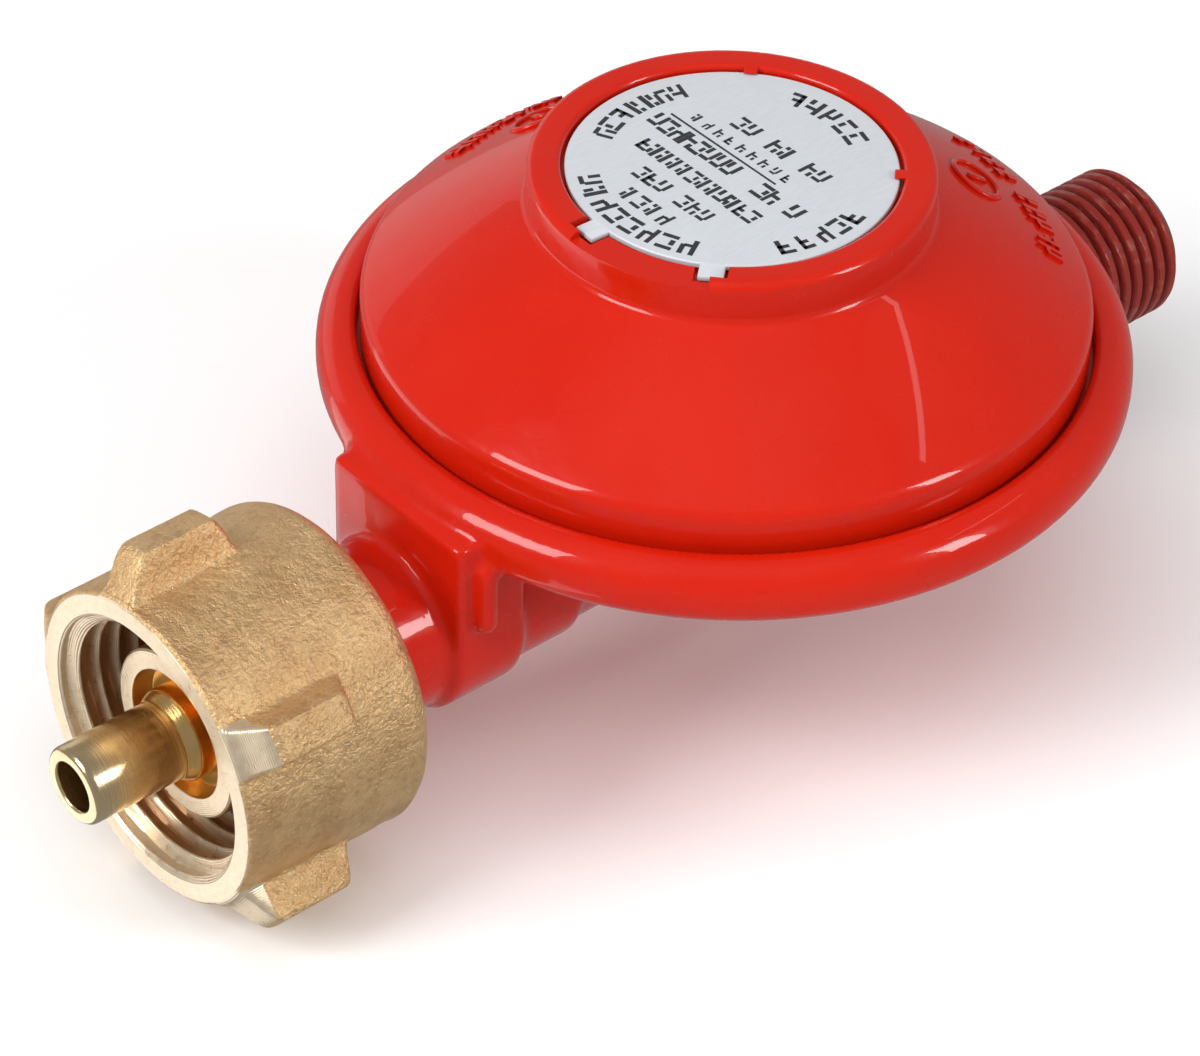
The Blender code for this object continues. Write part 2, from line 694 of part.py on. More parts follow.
def wing(angle_degrees):
    """One wing of the union nut: a tapered fin with sloping ends, drawn at +X and turned to its angle."""
    corners = []
    for radius, thick, ends in (
        (WING_ROOT_R, WING_ROOT_THICK, WING_ROOT_X),
        (WING_TIP_R, WING_TIP_THICK, WING_TIP_X),
    ):
        for x in ends:
            for side in (-1, 1):
                corners.append(Vector((x, -radius, side * thick / 2)))
    bm = bmesh.new()
    bmesh.ops.convex_hull(bm, input=[bm.verts.new(corner) for corner in corners])
    turn = Matrix.Rotation(-math.radians(angle_degrees), 4, "X")
    bm.transform(Matrix.Translation((0, 0, PORT_Z)) @ turn)
    return bm


def union_nut(finish):
    front, back = NUT_X
    corner = (NUT_REAR_R - NUT_REAR_ROUND, back - NUT_REAR_ROUND)
    profile = [
        (NUT_MOUTH_R, front),
        (NUT_FRONT_R, front),
        *arc(corner, NUT_REAR_ROUND, 0, 90, 4),
        (NUT_HOLE_R, back),
        (NUT_HOLE_R, NUT_WEB_X),
        (NUT_THREAD_R, NUT_WEB_X),
        (NUT_THREAD_R, front + 0.7 * MM),
    ]
    made = new_object("union_nut", port_turned(profile, 36), finish)
    for index in range(WING_COUNT):
        join(made, wing(WING_FIRST_ANGLE + 360 / WING_COUNT * index))
    origin = (0, 0, PORT_Z)
    made.data.transform(Matrix.Translation(-Vector(origin)))
    made.location = origin
    return made


def outlet_nipple(finish):
    """Threaded nipple with a 60 degree cone in its mouth, screwed into the end of the duct."""
    chamfer = 0.8 * MM
    profile = [
        (OUTLET_BORE_R, NIPPLE_START_X),
        (NIPPLE_SHANK_R, NIPPLE_START_X),
        (NIPPLE_SHANK_R, DUCT_X[1] + GAP),
        (OUTLET_R, DUCT_X[1] + GAP),
        (OUTLET_R, OUTLET_X - chamfer),
        (OUTLET_R - chamfer, OUTLET_X),
        (OUTLET_CONE_R, OUTLET_X),
        (OUTLET_BORE_R, OUTLET_X - OUTLET_CONE_DEPTH),
    ]
    return new_object("outlet_nipple", port_turned(profile, SMALL_STEPS), finish)


def label_plate(finish):
    low, high = PLATE_Z
    made = new_object("label_plate", turned(rod(PLATE_R, low, high), ROUND_STEPS), finish)
    for angle in NOTCH_ANGLES:
        tab = box((PLATE_R - MM, -PLATE_TAB_WIDTH / 2, low), (PLATE_TAB_R, PLATE_TAB_WIDTH / 2, high))
        tab.transform(Matrix.Rotation(math.radians(angle), 4, "Z"))
        join(made, tab)
    return made


def adjusting_screw(finish):
    low, high = ADJUSTER_Z
    profile = [
        (0, low),
        (ADJUSTER_R - 0.5 * MM, low),
        (ADJUSTER_R, low + 0.5 * MM),
        (ADJUSTER_R, high),
        (0, high),
    ]
    made = new_object("adjusting_screw", turned(profile, SMALL_STEPS + 8), finish)
    cut(made, turned(rod(KEY_SOCKET_R, high - KEY_SOCKET_DEPTH, high + MM), 6))
    return made


def spring_seat(finish):
    low, high = SEAT_Z
    profile = [
        (0, low - 1.5 * MM),
        (4.6 * MM, low - 1.5 * MM),
        (5.2 * MM, low),
        (SEAT_R, low),
        (SEAT_R, high),
        (0, high),
    ]
    return new_object("spring_seat", turned(profile, SMALL_STEPS), finish)


def main():
    clear_scene()
    paint = material("red_paint", (0.72, 0.03, 0.015), 0.25, 0.0)
    label = material("label_aluminium", (0.62, 0.63, 0.64), 0.35, 0.6)
    steel = material("zinc_plated_steel", (0.55, 0.55, 0.52), 0.35, 1.0)
    spring_steel = material("spring_steel", (0.25, 0.25, 0.26), 0.4, 1.0)
    rubber = material("black_rubber", (0.02, 0.02, 0.02), 0.8, 0.0)
    turned_brass = material("turned_brass", (0.7, 0.45, 0.16), 0.25, 1.0)
    cast_brass = material("cast_brass", (0.45, 0.3, 0.15), 0.5, 1.0)
    lacquer = material("red_lacquered_brass", (0.16, 0.015, 0.01), 0.35, 0.3)
    bronze = material("sintered_bronze", (0.4, 0.25, 0.12), 0.7, 1.0)
    pieces = [
        lower_body(paint),
        upper_cover(paint),
        label_plate(label),
        adjusting_screw(turned_brass),
        spring_seat(steel),
        spring("main_spring", spring_steel),
        diaphragm(rubber),
        new_object(
            "upper_plate",
            turned(ring(SHANK_HOLE_R, UPPER_PLATE_R, *UPPER_PLATE_Z), SMALL_STEPS + 8),
            steel,
        ),
        new_object("lower_plate", turned(ring(SHANK_HOLE_R, LOWER_PLATE_R, *LOWER_PLATE_Z), SMALL_STEPS), steel),
        diaphragm_stem(turned_brass),
        hexagon_nut("stem_nut", STEM_NUT_R, SHANK_HOLE_R, *STEM_NUT_Z, steel),
        lever(steel),
        new_object("lever_pin", cross_rod(PIN_R, PIN_HALF_LENGTH, PIVOT_X, PIVOT_Z, TINY_STEPS), steel),
        lever_bracket(steel),
        bracket_screw("bracket_screw_1", -1, steel),
        bracket_screw("bracket_screw_2", 1, steel),
        plunger(turned_brass),
        new_object("valve_pad", port_turned(rod(PAD_R, *PAD_X), TINY_STEPS), rubber),
        seat_insert(turned_brass),
        inlet_stem(turned_brass),
        outlet_nipple(lacquer),
        new_object("stem_gasket", port_turned(ring(*GASKET_R, *GASKET_X), SMALL_STEPS), rubber),
        new_object(
            "inlet_filter",
            port_turned(
                [
                    (0, FILTER_X[1]),
                    (FILTER_R[1], FILTER_X[1]),
                    (FILTER_R[1], FILTER_X[0]),
                    (FILTER_R[0], FILTER_X[0]),
                    (FILTER_R[0], FILTER_X[1] - MM),
                    (0, FILTER_X[1] - MM),
                ],
                TINY_STEPS,
            ),
            bronze,
        ),
        union_nut(cast_brass),
    ]
    frame = bpy.data.objects.new("regulator_frame", None)
    bpy.context.scene.collection.objects.link(frame)
    frame.location = (-BODY_CENTRE_X, 0, ORIGIN_LIFT)
    for piece in pieces:
        piece.parent = frame


main()
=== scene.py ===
import math

import bmesh
import bpy
import numpy as np
from mathutils import Matrix, Vector


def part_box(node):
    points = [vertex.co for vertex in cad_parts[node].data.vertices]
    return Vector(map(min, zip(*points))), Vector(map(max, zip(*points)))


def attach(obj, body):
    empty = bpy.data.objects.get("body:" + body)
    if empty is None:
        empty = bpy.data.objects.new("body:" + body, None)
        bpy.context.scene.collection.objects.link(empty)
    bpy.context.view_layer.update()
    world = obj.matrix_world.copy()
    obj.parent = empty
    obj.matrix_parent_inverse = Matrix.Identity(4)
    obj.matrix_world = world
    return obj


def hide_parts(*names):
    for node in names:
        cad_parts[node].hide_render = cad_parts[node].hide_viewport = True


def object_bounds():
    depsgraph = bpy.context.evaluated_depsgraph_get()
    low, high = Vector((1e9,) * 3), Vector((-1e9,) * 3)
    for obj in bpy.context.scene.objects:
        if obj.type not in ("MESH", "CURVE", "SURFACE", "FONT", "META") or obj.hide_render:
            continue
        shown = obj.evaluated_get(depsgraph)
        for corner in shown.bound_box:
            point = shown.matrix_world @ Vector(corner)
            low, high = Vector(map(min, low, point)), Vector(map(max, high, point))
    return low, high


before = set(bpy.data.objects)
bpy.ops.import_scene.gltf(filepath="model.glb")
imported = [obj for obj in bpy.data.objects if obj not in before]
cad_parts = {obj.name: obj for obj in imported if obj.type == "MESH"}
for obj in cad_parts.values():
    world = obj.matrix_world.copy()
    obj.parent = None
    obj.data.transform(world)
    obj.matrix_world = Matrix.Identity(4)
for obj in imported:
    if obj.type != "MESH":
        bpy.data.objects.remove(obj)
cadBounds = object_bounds()

# the drawing is in millimetres: Z is the axis of the round housing, X runs along the ports to the outlet
coverLow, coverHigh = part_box("upper_cover")
stemLow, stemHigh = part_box("inlet_stem")
collarTop = 19.7
overrun = 1.0  # cutters pass the surface they open by this much
origin = np.array([(coverLow.x + coverHigh.x) * 500, 0, coverHigh.z * 1000 - collarTop])
portZ = (stemLow.z + stemHigh.z) * 500 - origin[2]
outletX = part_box("outlet_nipple")[1].x * 1000 - origin[0]
stemTipX = stemLow.x * 1000 - origin[0]


# the view's angles are in degrees and its shifts in millimetres
cameraView = {
    "azimuth": -41.3,
    "elevation": 39.44,
    "roll": 1.513,
    "distance": 386.5,
    "right": -9.756,
    "up": -12.83,
    "lens": 146.37,
}


def addCamera(view):
    azimuth, elevation = math.radians(view["azimuth"]), math.radians(view["elevation"])
    back = Vector((
        math.sin(azimuth) * math.cos(elevation), -math.cos(azimuth) * math.cos(elevation), math.sin(elevation)
    ))
    level = Vector((math.cos(azimuth), math.sin(azimuth), 0))
    upright = back.cross(level)
    roll = math.radians(view["roll"])
    right = level * math.cos(roll) + upright * math.sin(roll)
    up = upright * math.cos(roll) - level * math.sin(roll)
    spot = back * view["distance"] + right * view["right"] + up * view["up"]
    camera = bpy.data.objects.new("camera", bpy.data.cameras.new("camera"))
    camera.data.lens = view["lens"]
    camera.data.sensor_width = 36
    camera.data.clip_start = 0.01
    turn = Matrix((right, up, back)).transposed().to_4x4()
    camera.matrix_world = Matrix.Translation(Vector(toPlace(np.array(spot)))) @ turn
    bpy.context.scene.collection.objects.link(camera)
    bpy.context.scene.camera = camera


def toPlace(points):
    return (np.asarray(points, float) + origin) * 0.001


def makeObject(name, points, faces, finishes, sharpAngle=35, faceFinish=None):
    mesh = bpy.data.meshes.new(name)
    mesh.from_pydata(toPlace(points), [], faces)
    for finish in finishes:
        mesh.materials.append(finish)
    if faceFinish is not None:
        mesh.polygons.foreach_set("material_index", np.asarray(faceFinish, np.int32))
    tidyMesh(mesh, sharpAngle)
    obj = bpy.data.objects.new(name, mesh)
    bpy.context.scene.collection.objects.link(obj)
    return obj


def tidyMesh(mesh, sharpAngle, weld=True):
    bm = bmesh.new()
    bm.from_mesh(mesh)
    if weld:
        bmesh.ops.remove_doubles(bm, verts=bm.verts, dist=2e-6)
        bmesh.ops.dissolve_degenerate(bm, dist=1e-7, edges=bm.edges)
    bmesh.ops.recalc_face_normals(bm, faces=bm.faces)
    bm.to_mesh(mesh)
    bm.free()
    mesh.shade_smooth()
    if sharpAngle:
        mesh.set_sharp_from_angle(angle=math.radians(sharpAngle))


def loopFaces(rows, columns):
    # quads of a grid that closes on itself both ways
    row, column = np.meshgrid(np.arange(rows), np.arange(columns), indexing="ij")
    nextRow, nextColumn = (row + 1) % rows, (column + 1) % columns
    corners = [
        row * columns + column, row * columns + nextColumn,
        nextRow * columns + nextColumn, nextRow * columns + column,
    ]
    return np.stack(corners, axis=-1).reshape(-1, 4)


def roundedLine(corners, closed=True, step=9):
    # (a, b, radius) corners become a line with each corner rounded
    count = len(corners)
    points = []
    for index, (a, b, radius) in enumerate(corners):
        here = np.array([a, b], float)
        if radius <= 0 or (not closed and index in (0, count - 1)):
            points.append(tuple(here))
            continue
        before = np.array(corners[index - 1][:2], float) - here
        after = np.array(corners[(index + 1) % count][:2], float) - here
        before, after = before / np.linalg.norm(before), after / np.linalg.norm(after)
        half = math.acos(np.clip(before @ after, -1, 1)) / 2
        if half > math.radians(89):
            points.append(tuple(here))
            continue
        middle = here + (before + after) / np.linalg.norm(before + after) * radius / math.sin(half)
        start = here + before * radius / math.tan(half) - middle
        end = here + after * radius / math.tan(half) - middle
        sweep = math.pi - 2 * half
        pieces = max(2, math.ceil(math.degrees(sweep) / step))
        for piece in range(pieces + 1):
            share = piece / pieces
            arm = start * math.sin(sweep * (1 - share)) + end * math.sin(sweep * share)
            points.append(tuple(middle + arm / math.sin(sweep)))
    return points


def splitLine(points, longest):
    # adds points so that no stretch of a closed line is longer than this
    made = []
    for (a0, b0), (a1, b1) in zip(points, points[1:] + points[:1]):
        pieces = max(1, math.ceil(math.hypot(a1 - a0, b1 - b0) / longest))
        made += [(a0 + (a1 - a0) * k / pieces, b0 + (b1 - b0) * k / pieces) for k in range(pieces)]
    return made


def turnedObject(name, profile, steps, axis, finishes, sharpAngle=35, faceFinish=None):
    # a closed (radius, height) line turned about the housing's axis, or about the port's
    radius, height = np.array(profile).T
    angle = np.arange(steps) * 2 * math.pi / steps
    wide, tall = np.outer(radius, np.cos(angle)), np.outer(radius, np.sin(angle))
    along = np.repeat(height[:, None], steps, axis=1)
    if axis == "Z":
        points = np.stack([wide, tall, along], axis=-1)
    else:
        points = np.stack([along, wide, tall + portZ], axis=-1)
    faces = loopFaces(len(profile), steps)
    chosen = None if faceFinish is None else np.repeat(faceFinish, steps)
    return makeObject(name, points.reshape(-1, 3), faces, finishes, sharpAngle, chosen)


def combine(target, helper, operation, sharpAngle=35):
    modifier = target.modifiers.new("shape", "BOOLEAN")
    modifier.operation = operation
    modifier.solver = "MANIFOLD"
    modifier.object = helper
    applyModifiers(target)
    bpy.data.objects.remove(helper)
    if sharpAngle:
        target.data.shade_smooth()
        target.data.set_sharp_from_angle(angle=math.radians(sharpAngle))


def applyModifiers(obj):
    bpy.context.view_layer.update()
    graph = bpy.context.evaluated_depsgraph_get()
    mesh = bpy.data.meshes.new_from_object(obj.evaluated_get(graph), depsgraph=graph)
    obj.modifiers.clear()
    obj.data = mesh
    mesh.name = obj.name


def bevelEdges(obj, width, segments):
    bevel = obj.modifiers.new("edge", "BEVEL")
    bevel.width, bevel.segments = width * 0.001, segments
    applyModifiers(obj)


def wedge(name, corners, low, high):
    # a prism over a flat outline, used as a cutter
    count = len(corners)
    points = [(x, y, z) for z in (low, high) for x, y in corners]
    faces = [tuple(range(count))[::-1], tuple(range(count, 2 * count))]
    faces += [(k, (k + 1) % count, count + (k + 1) % count, count + k) for k in range(count)]
    return makeObject(name, points, faces, [], None)


def outAndSide(angle):
    turn = math.radians(angle)
    return np.array([math.cos(turn), math.sin(turn)]), np.array([-math.sin(turn), math.cos(turn)])


def radialBar(name, angle, inner, outer, width, low, high):
    out, side = outAndSide(angle)
    half = width / 2
    corners = [out * r + side * w for r, w in ((inner, -half), (outer, -half), (outer, half), (inner, half))]
    return wedge(name, corners, low, high)


def softMin(a, b, k):
    share = np.clip(0.5 + 0.5 * (b - a) / k, 0, 1)
    return b + (a - b) * share - k * share * (1 - share)


def softMax(a, b, k):
    return -softMin(-a, -b, k)


class Wire:
    # a socket that can be used in sums; each sum adds a Math node
    def __init__(self, net, socket):
        self.net, self.socket = net, socket

    def __getitem__(self, name):
        return Wire(self.net, pickSocket(self.socket.node.outputs, name))

    def maths(self, operation, *values):
        return self.net.node("ShaderNodeMath", {"operation": operation}, dict(enumerate(values)))

    def __add__(self, other):
        return self.maths("ADD", self, other)

    def __sub__(self, other):
        return self.maths("SUBTRACT", self, other)

    def __rsub__(self, other):
        return self.maths("SUBTRACT", other, self)

    def __mul__(self, other):
        return self.maths("MULTIPLY", self, other)

    def __truediv__(self, other):
        return self.maths("DIVIDE", self, other)

    def __gt__(self, other):
        return self.maths("GREATER_THAN", self, other)

    def __lt__(self, other):
        return self.maths("LESS_THAN", self, other)

    __radd__ = __add__
    __rmul__ = __mul__


def pickSocket(sockets, name):
    if isinstance(name, int):
        return sockets[name]
    for socket in sockets:
        if socket.identifier == name:
            return socket
    return next(socket for socket in sockets if socket.name == name and socket.enabled)


class Net:
    def __init__(self, tree):
        self.tree = tree

    def node(self, kind, settings=None, values=None):
        made = self.tree.nodes.new(kind)
        for name, value in (settings or {}).items():
            setattr(made, name, value)
        for name, value in (values or {}).items():
            self.feed(pickSocket(made.inputs, name), value)
        return Wire(self, next(socket for socket in made.outputs if socket.enabled)) if made.outputs else made

    def feed(self, socket, value):
        if isinstance(value, Wire):
            self.tree.links.new(value.socket, socket)
        elif isinstance(value, list):
            for wire in value:
                self.tree.links.new(wire.socket, socket)
        else:
            socket.default_value = value

    def noise(self, place, scale, detail=2, roughness=0.5):
        return self.node("ShaderNodeTexNoise", None, {
            "Vector": place, "Scale": scale, "Detail": detail, "Roughness": roughness,
        })

    def blend(self, share, first, second):
        return self.node("ShaderNodeMix", {"data_type": "RGBA"}, {
            "Factor_Float": share, "A_Color": first, "B_Color": second,
        })["Result_Color"]

    def span(self, value, low, high, first, second):
        return self.node("ShaderNodeMapRange", None, {
            "Value": value, "From Min": low, "From Max": high, "To Min": first, "To Max": second,
        })


class Finish(Net):
    # a Principled material; constants go on its own sockets, links only to the ones that bake
    def __init__(self, name, constants):
        self.material = bpy.data.materials.new(name)
        self.material.use_nodes = True
        super().__init__(self.material.node_tree)
        self.shader = self.tree.nodes["Principled BSDF"]
        for socket, value in constants.items():
            self.shader.inputs[socket].default_value = (*value, 1) if isinstance(value, tuple) else value
        self.place = self.node("ShaderNodeTexCoord")["Object"]

    def centred(self, turn=(0, 0, 0), scale=(1, 1, 1), spot=(0, 0, 0)):
        shift = -Vector(toPlace(np.array(spot, float)))
        moved = self.node("ShaderNodeMapping", None, {"Vector": self.place, "Location": shift})
        return self.node("ShaderNodeMapping", None, {"Vector": moved, "Rotation": turn, "Scale": scale})

    def shade(self, links):
        for socket, wire in links.items():
            self.feed(self.shader.inputs[socket], wire)
        return self.material

    def bump(self, height, distance, strength=1.0):
        return self.node("ShaderNodeBump", None, {"Height": height, "Distance": distance, "Strength": strength})


def portParts(finish):
    # distance from the port's axis, and the place along it, in metres
    moved = finish.centred(spot=(0, 0, portZ))
    parts = finish.node("ShaderNodeSeparateXYZ", None, {0: moved})
    square = parts["Y"] * parts["Y"] + parts["Z"] * parts["Z"]
    return square.maths("SQRT", square), parts["X"]


def redPaint():
    finish = Finish("redPaint", {
        "Metallic": 0.0, "Coat Weight": 0.5, "Coat Roughness": 0.025, "Specular IOR Level": 0.12,
    })
    drift = finish.noise(finish.place, 90, 2)
    peel = finish.noise(finish.place, 900, 2)
    colour = finish.blend(drift, (0.60, 0.015, 0.002, 1), (0.54, 0.009, 0.002, 1))
    rough = finish.span(finish.noise(finish.place, 260, 3), 0.3, 0.7, 0.2, 0.3)
    height = drift * 0.5 + peel * 0.035
    return finish.shade({"Base Color": colour, "Roughness": rough, "Normal": finish.bump(height, 0.0007)})


def threadPaint():
    finish = Finish("threadPaint", {
        "Metallic": 0.0, "Coat Weight": 0.15, "Coat Roughness": 0.15, "Specular IOR Level": 0.25,
    })
    across, along = portParts(finish)
    crest = finish.span(across, 0.00608, 0.00645, 0, 1)  # 0 in the groove, 1 on the thread's crest
    wear = finish.noise(finish.place, 700, 3)
    # painted shade: the grooves are painted much darker than the crests, for the shade that falls in them
    base = finish.blend(crest, (0.09, 0.006, 0.005, 1), (0.25, 0.020, 0.012, 1))
    colour = finish.blend(finish.span(wear * crest, 0.56, 0.66, 0, 0.3), base, (0.42, 0.14, 0.10, 1))
    rough = finish.span(wear, 0.3, 0.7, 0.28, 0.45)
    return finish.shade({"Base Color": colour, "Roughness": rough, "Normal": finish.bump(wear, 0.0002)})


def plateFoil():
    finish = Finish("plateFoil", {"Metallic": 0.15, "Specular IOR Level": 0.5})
    fleck = finish.noise(finish.centred(scale=(1, 12, 1)), 900, 3)
    drift = finish.noise(finish.place, 120, 2)
    colour = finish.blend(finish.span(fleck, 0.3, 0.7, 0, 1), (0.60, 0.63, 0.67, 1), (0.66, 0.69, 0.73, 1))
    rough = finish.span(drift, 0.3, 0.7, 0.38, 0.5)
    return finish.shade({"Base Color": colour, "Roughness": rough, "Normal": finish.bump(fleck, 0.00002)})


def plateInk():
    finish = Finish("plateInk", {"Metallic": 0.0})
    grain = finish.noise(finish.place, 3000, 2)
    colour = finish.blend(grain, (0.010, 0.010, 0.012, 1), (0.045, 0.045, 0.05, 1))
    return finish.shade({"Base Color": colour, "Roughness": finish.span(grain, 0.3, 0.7, 0.4, 0.6)})


def castBrass():
    finish = Finish("castBrass", {"Metallic": 0.8, "Specular IOR Level": 0.5})
    patch = finish.noise(finish.place, 260, 3)
    grain = finish.noise(finish.place, 1500, 4, 0.65)
    glintSpeck = finish.noise(finish.place, 3200, 2, 0.6)
    base = finish.blend(finish.span(patch, 0.3, 0.7, 0, 1), (0.68, 0.42, 0.195, 1), (0.86, 0.58, 0.29, 1))
    # painted glints: pale specks in the colour stand in for sparkle on the cast skin
    colour = finish.blend(finish.span(glintSpeck, 0.54, 0.70, 0, 0.35), base, (0.88, 0.72, 0.48, 1))
    darker = finish.blend(finish.span(grain, 0.32, 0.5, 0.35, 0), colour, (0.36, 0.21, 0.085, 1))
    rough = finish.span(grain, 0.3, 0.7, 0.36, 0.55)
    height = grain * 0.75 + glintSpeck * 0.35
    return finish.shade({"Base Color": darker, "Roughness": rough, "Normal": finish.bump(height, 0.00035)})


def cutBrass():
    finish = Finish("cutBrass", {"Metallic": 0.75})
    across, along = portParts(finish)
    rings = (across * 38000).maths("SINE", across * 38000)
    grain = finish.noise(finish.place, 1400, 3)
    bright = finish.blend(finish.span(grain, 0.3, 0.7, 0, 1), (0.74, 0.58, 0.40, 1), (0.83, 0.69, 0.50, 1))
    # painted shade and cutting oil leave the roots of the inner thread browner; painted shade also darkens the whole
    # bore further in
    inBore = across < 0.01095
    deepBoreShade = inBore * (along > -0.0520) * 0.25
    root = finish.span(across, 0.0101, 0.0107, 0, 1) * inBore * (along > -0.0555) + deepBoreShade
    colour = finish.blend(finish.span(root, 0, 1, 0, 0.85), bright, (0.46, 0.22, 0.08, 1))
    rough = finish.span(grain, 0.3, 0.7, 0.26, 0.38)
    height = rings * 0.3 + grain
    return finish.shade({"Base Color": colour, "Roughness": rough, "Normal": finish.bump(height, 0.00003)})


def turnedBrass():
    finish = Finish("turnedBrass", {"Metallic": 1.0})
    across, along = portParts(finish)
    marks = finish.noise(finish.centred(scale=(30, 1, 1)), 300, 3)
    grain = finish.noise(finish.place, 500, 3)
    gold = finish.blend(finish.span(grain, 0.3, 0.7, 0, 1), (0.80, 0.50, 0.17, 1), (0.86, 0.58, 0.24, 1))
    paleTipHighlight = finish.blend(finish.span(grain, 0.3, 0.7, 0, 1), (0.78, 0.60, 0.35, 1), (0.84, 0.68, 0.44, 1))
    # painted highlight: the nozzle's tip is painted paler than the golden hub behind it
    colour = finish.blend(finish.span(along, -0.0640, -0.0560, 0, 1), paleTipHighlight, gold)
    rough = finish.span(marks, 0.3, 0.7, 0.14, 0.24)
    return finish.shade({"Base Color": colour, "Roughness": rough, "Normal": finish.bump(marks, 0.000012)})


def plainMetal(name, first, second, rough, scale):
    finish = Finish(name, {"Metallic": 1.0})
    grain = finish.noise(finish.place, scale, 3)
    colour = finish.blend(finish.span(grain, 0.3, 0.7, 0, 1), first, second)
    dull = finish.span(grain, 0.3, 0.7, *rough)
    return finish.shade({"Base Color": colour, "Roughness": dull, "Normal": finish.bump(grain, 0.00004)})


def blackRubber():
    finish = Finish("blackRubber", {"Metallic": 0.0})
    grain = finish.noise(finish.place, 1800, 3)
    colour = finish.blend(grain, (0.012, 0.012, 0.013, 1), (0.035, 0.035, 0.036, 1))
    rough = finish.span(grain, 0.3, 0.7, 0.6, 0.8)
    return finish.shade({"Base Color": colour, "Roughness": rough, "Normal": finish.bump(grain, 0.00006)})


paint = redPaint()
darkPaint = threadPaint()
foil = plateFoil()
ink = plateInk()
roughBrass = castBrass()
faceBrass = cutBrass()
goldBrass = turnedBrass()
zincSteel = plainMetal("zincSteel", (0.50, 0.50, 0.47, 1), (0.62, 0.62, 0.60, 1), (0.3, 0.45), 700)
springWire = plainMetal("springWire", (0.20, 0.20, 0.21, 1), (0.30, 0.30, 0.31, 1), (0.35, 0.5), 1200)
bronze = plainMetal("sinteredBronze", (0.30, 0.18, 0.08, 1), (0.48, 0.30, 0.15, 1), (0.6, 0.8), 4000)
rubber = blackRubber()
print("finishes made")


castingSizes = {
    "baseRadius": 12.0,
    "baseZ": -15.0,
    "baseRound": 1.2,
    # radius, height and rounding of each corner; the bead's arcs give centre, radius, first and last angle
    "bowlLine": [(13.5, -14.3, 2.0), (17.5, -11.2, 8), (23.3, -6.4, 8), (28.4, -1.9, 2.5)],
    "beadArcs": [(29.9, 2.05, 2.3, -80, 0), (29.6, 2.5, 2.6, 0, 90)],
    "beadSteps": 14,
    "chamberLine": [(14.3, -11.6), (16.3, -10), (21, -5.6), (26, -1), (26.6, 1), (31, 1)],
    "chamberTop": 9,
    "pastAxis": -40,  # where the outlines close, beyond the axis
    "rimTop": 5.1,
    "lipRadius": 29.0,
    "lipUnder": 3.9,
    "blockFront": -33.2,
    "blockBack": -26.5,
    "blockHalf": 7.7,
    "blockTop": 2.9,
    "bossRadius": 6.95,
    "bossEnds": (-39.5, -20.0),
    "ductRadius": 6.4,
    "ductEnds": (-27.0, 33.7),
    "rib": (-32.0, -30.2, 9.3, -5.5, 1.5),  # front, back, half width, low, top
    "edges": {
        "blockTop": 0.8, "blockEnd": 0.7, "ribSide": 1.1, "ribEnd": 1.4, "boss": 0.8, "duct": 1.0, "mouth": 0.7,
    },
    "fillets": {"rib": 0.5, "bowl": 0.7, "duct": 1.4, "boss": 0.9},
    "voxel": 0.43,
    "reach": 0.7,  # grid points nearer than this are drawn on to the surface
    "draws": 4,
    "probe": 0.02,
    "longestDraw": 0.35,
    "leastSlope": 0.2,
    "sharpAngle": 50,
}


def outlineDistance(a, b, outline):
    # distance to a closed flat outline, below zero inside it
    nearest = np.full(a.shape, 1e9)
    inside = np.zeros(a.shape, bool)
    for (a0, b0), (a1, b1) in zip(outline, outline[1:] + outline[:1]):
        da, db = a1 - a0, b1 - b0
        share = np.clip(((a - a0) * da + (b - b0) * db) / (da * da + db * db), 0, 1)
        nearest = np.minimum(nearest, (a - a0 - share * da) ** 2 + (b - b0 - share * db) ** 2)
        if db:
            inside ^= ((b0 > b) != (b1 > b)) & (a < (b - b0) * da / db + a0)
    return np.where(inside, -1, 1) * np.sqrt(nearest)


def arcLine(centre, radius, start, end, steps):
    angles = np.radians(np.linspace(start, end, steps + 1))
    return [(centre[0] + radius * math.cos(t), centre[1] + radius * math.sin(t)) for t in angles]


def shellOutline(s):
    bowl = [(s["pastAxis"], s["baseZ"], 0), (s["baseRadius"], s["baseZ"], s["baseRound"])] + s["bowlLine"]
    bead = []
    for a, b, radius, first, last in s["beadArcs"]:
        bead += arcLine((a, b), radius, first, last, s["beadSteps"])
    return roundedLine(bowl + [(*bead[0], 0)], closed=False) + bead[1:] + [(s["pastAxis"], s["rimTop"])]


def chamberOutline(s):
    line = s["chamberLine"]
    lip = [(line[-1][0], s["lipUnder"]), (s["lipRadius"], s["lipUnder"]), (s["lipRadius"], s["chamberTop"])]
    return [(s["pastAxis"], line[0][1])] + line + lip + [(s["pastAxis"], s["chamberTop"])]


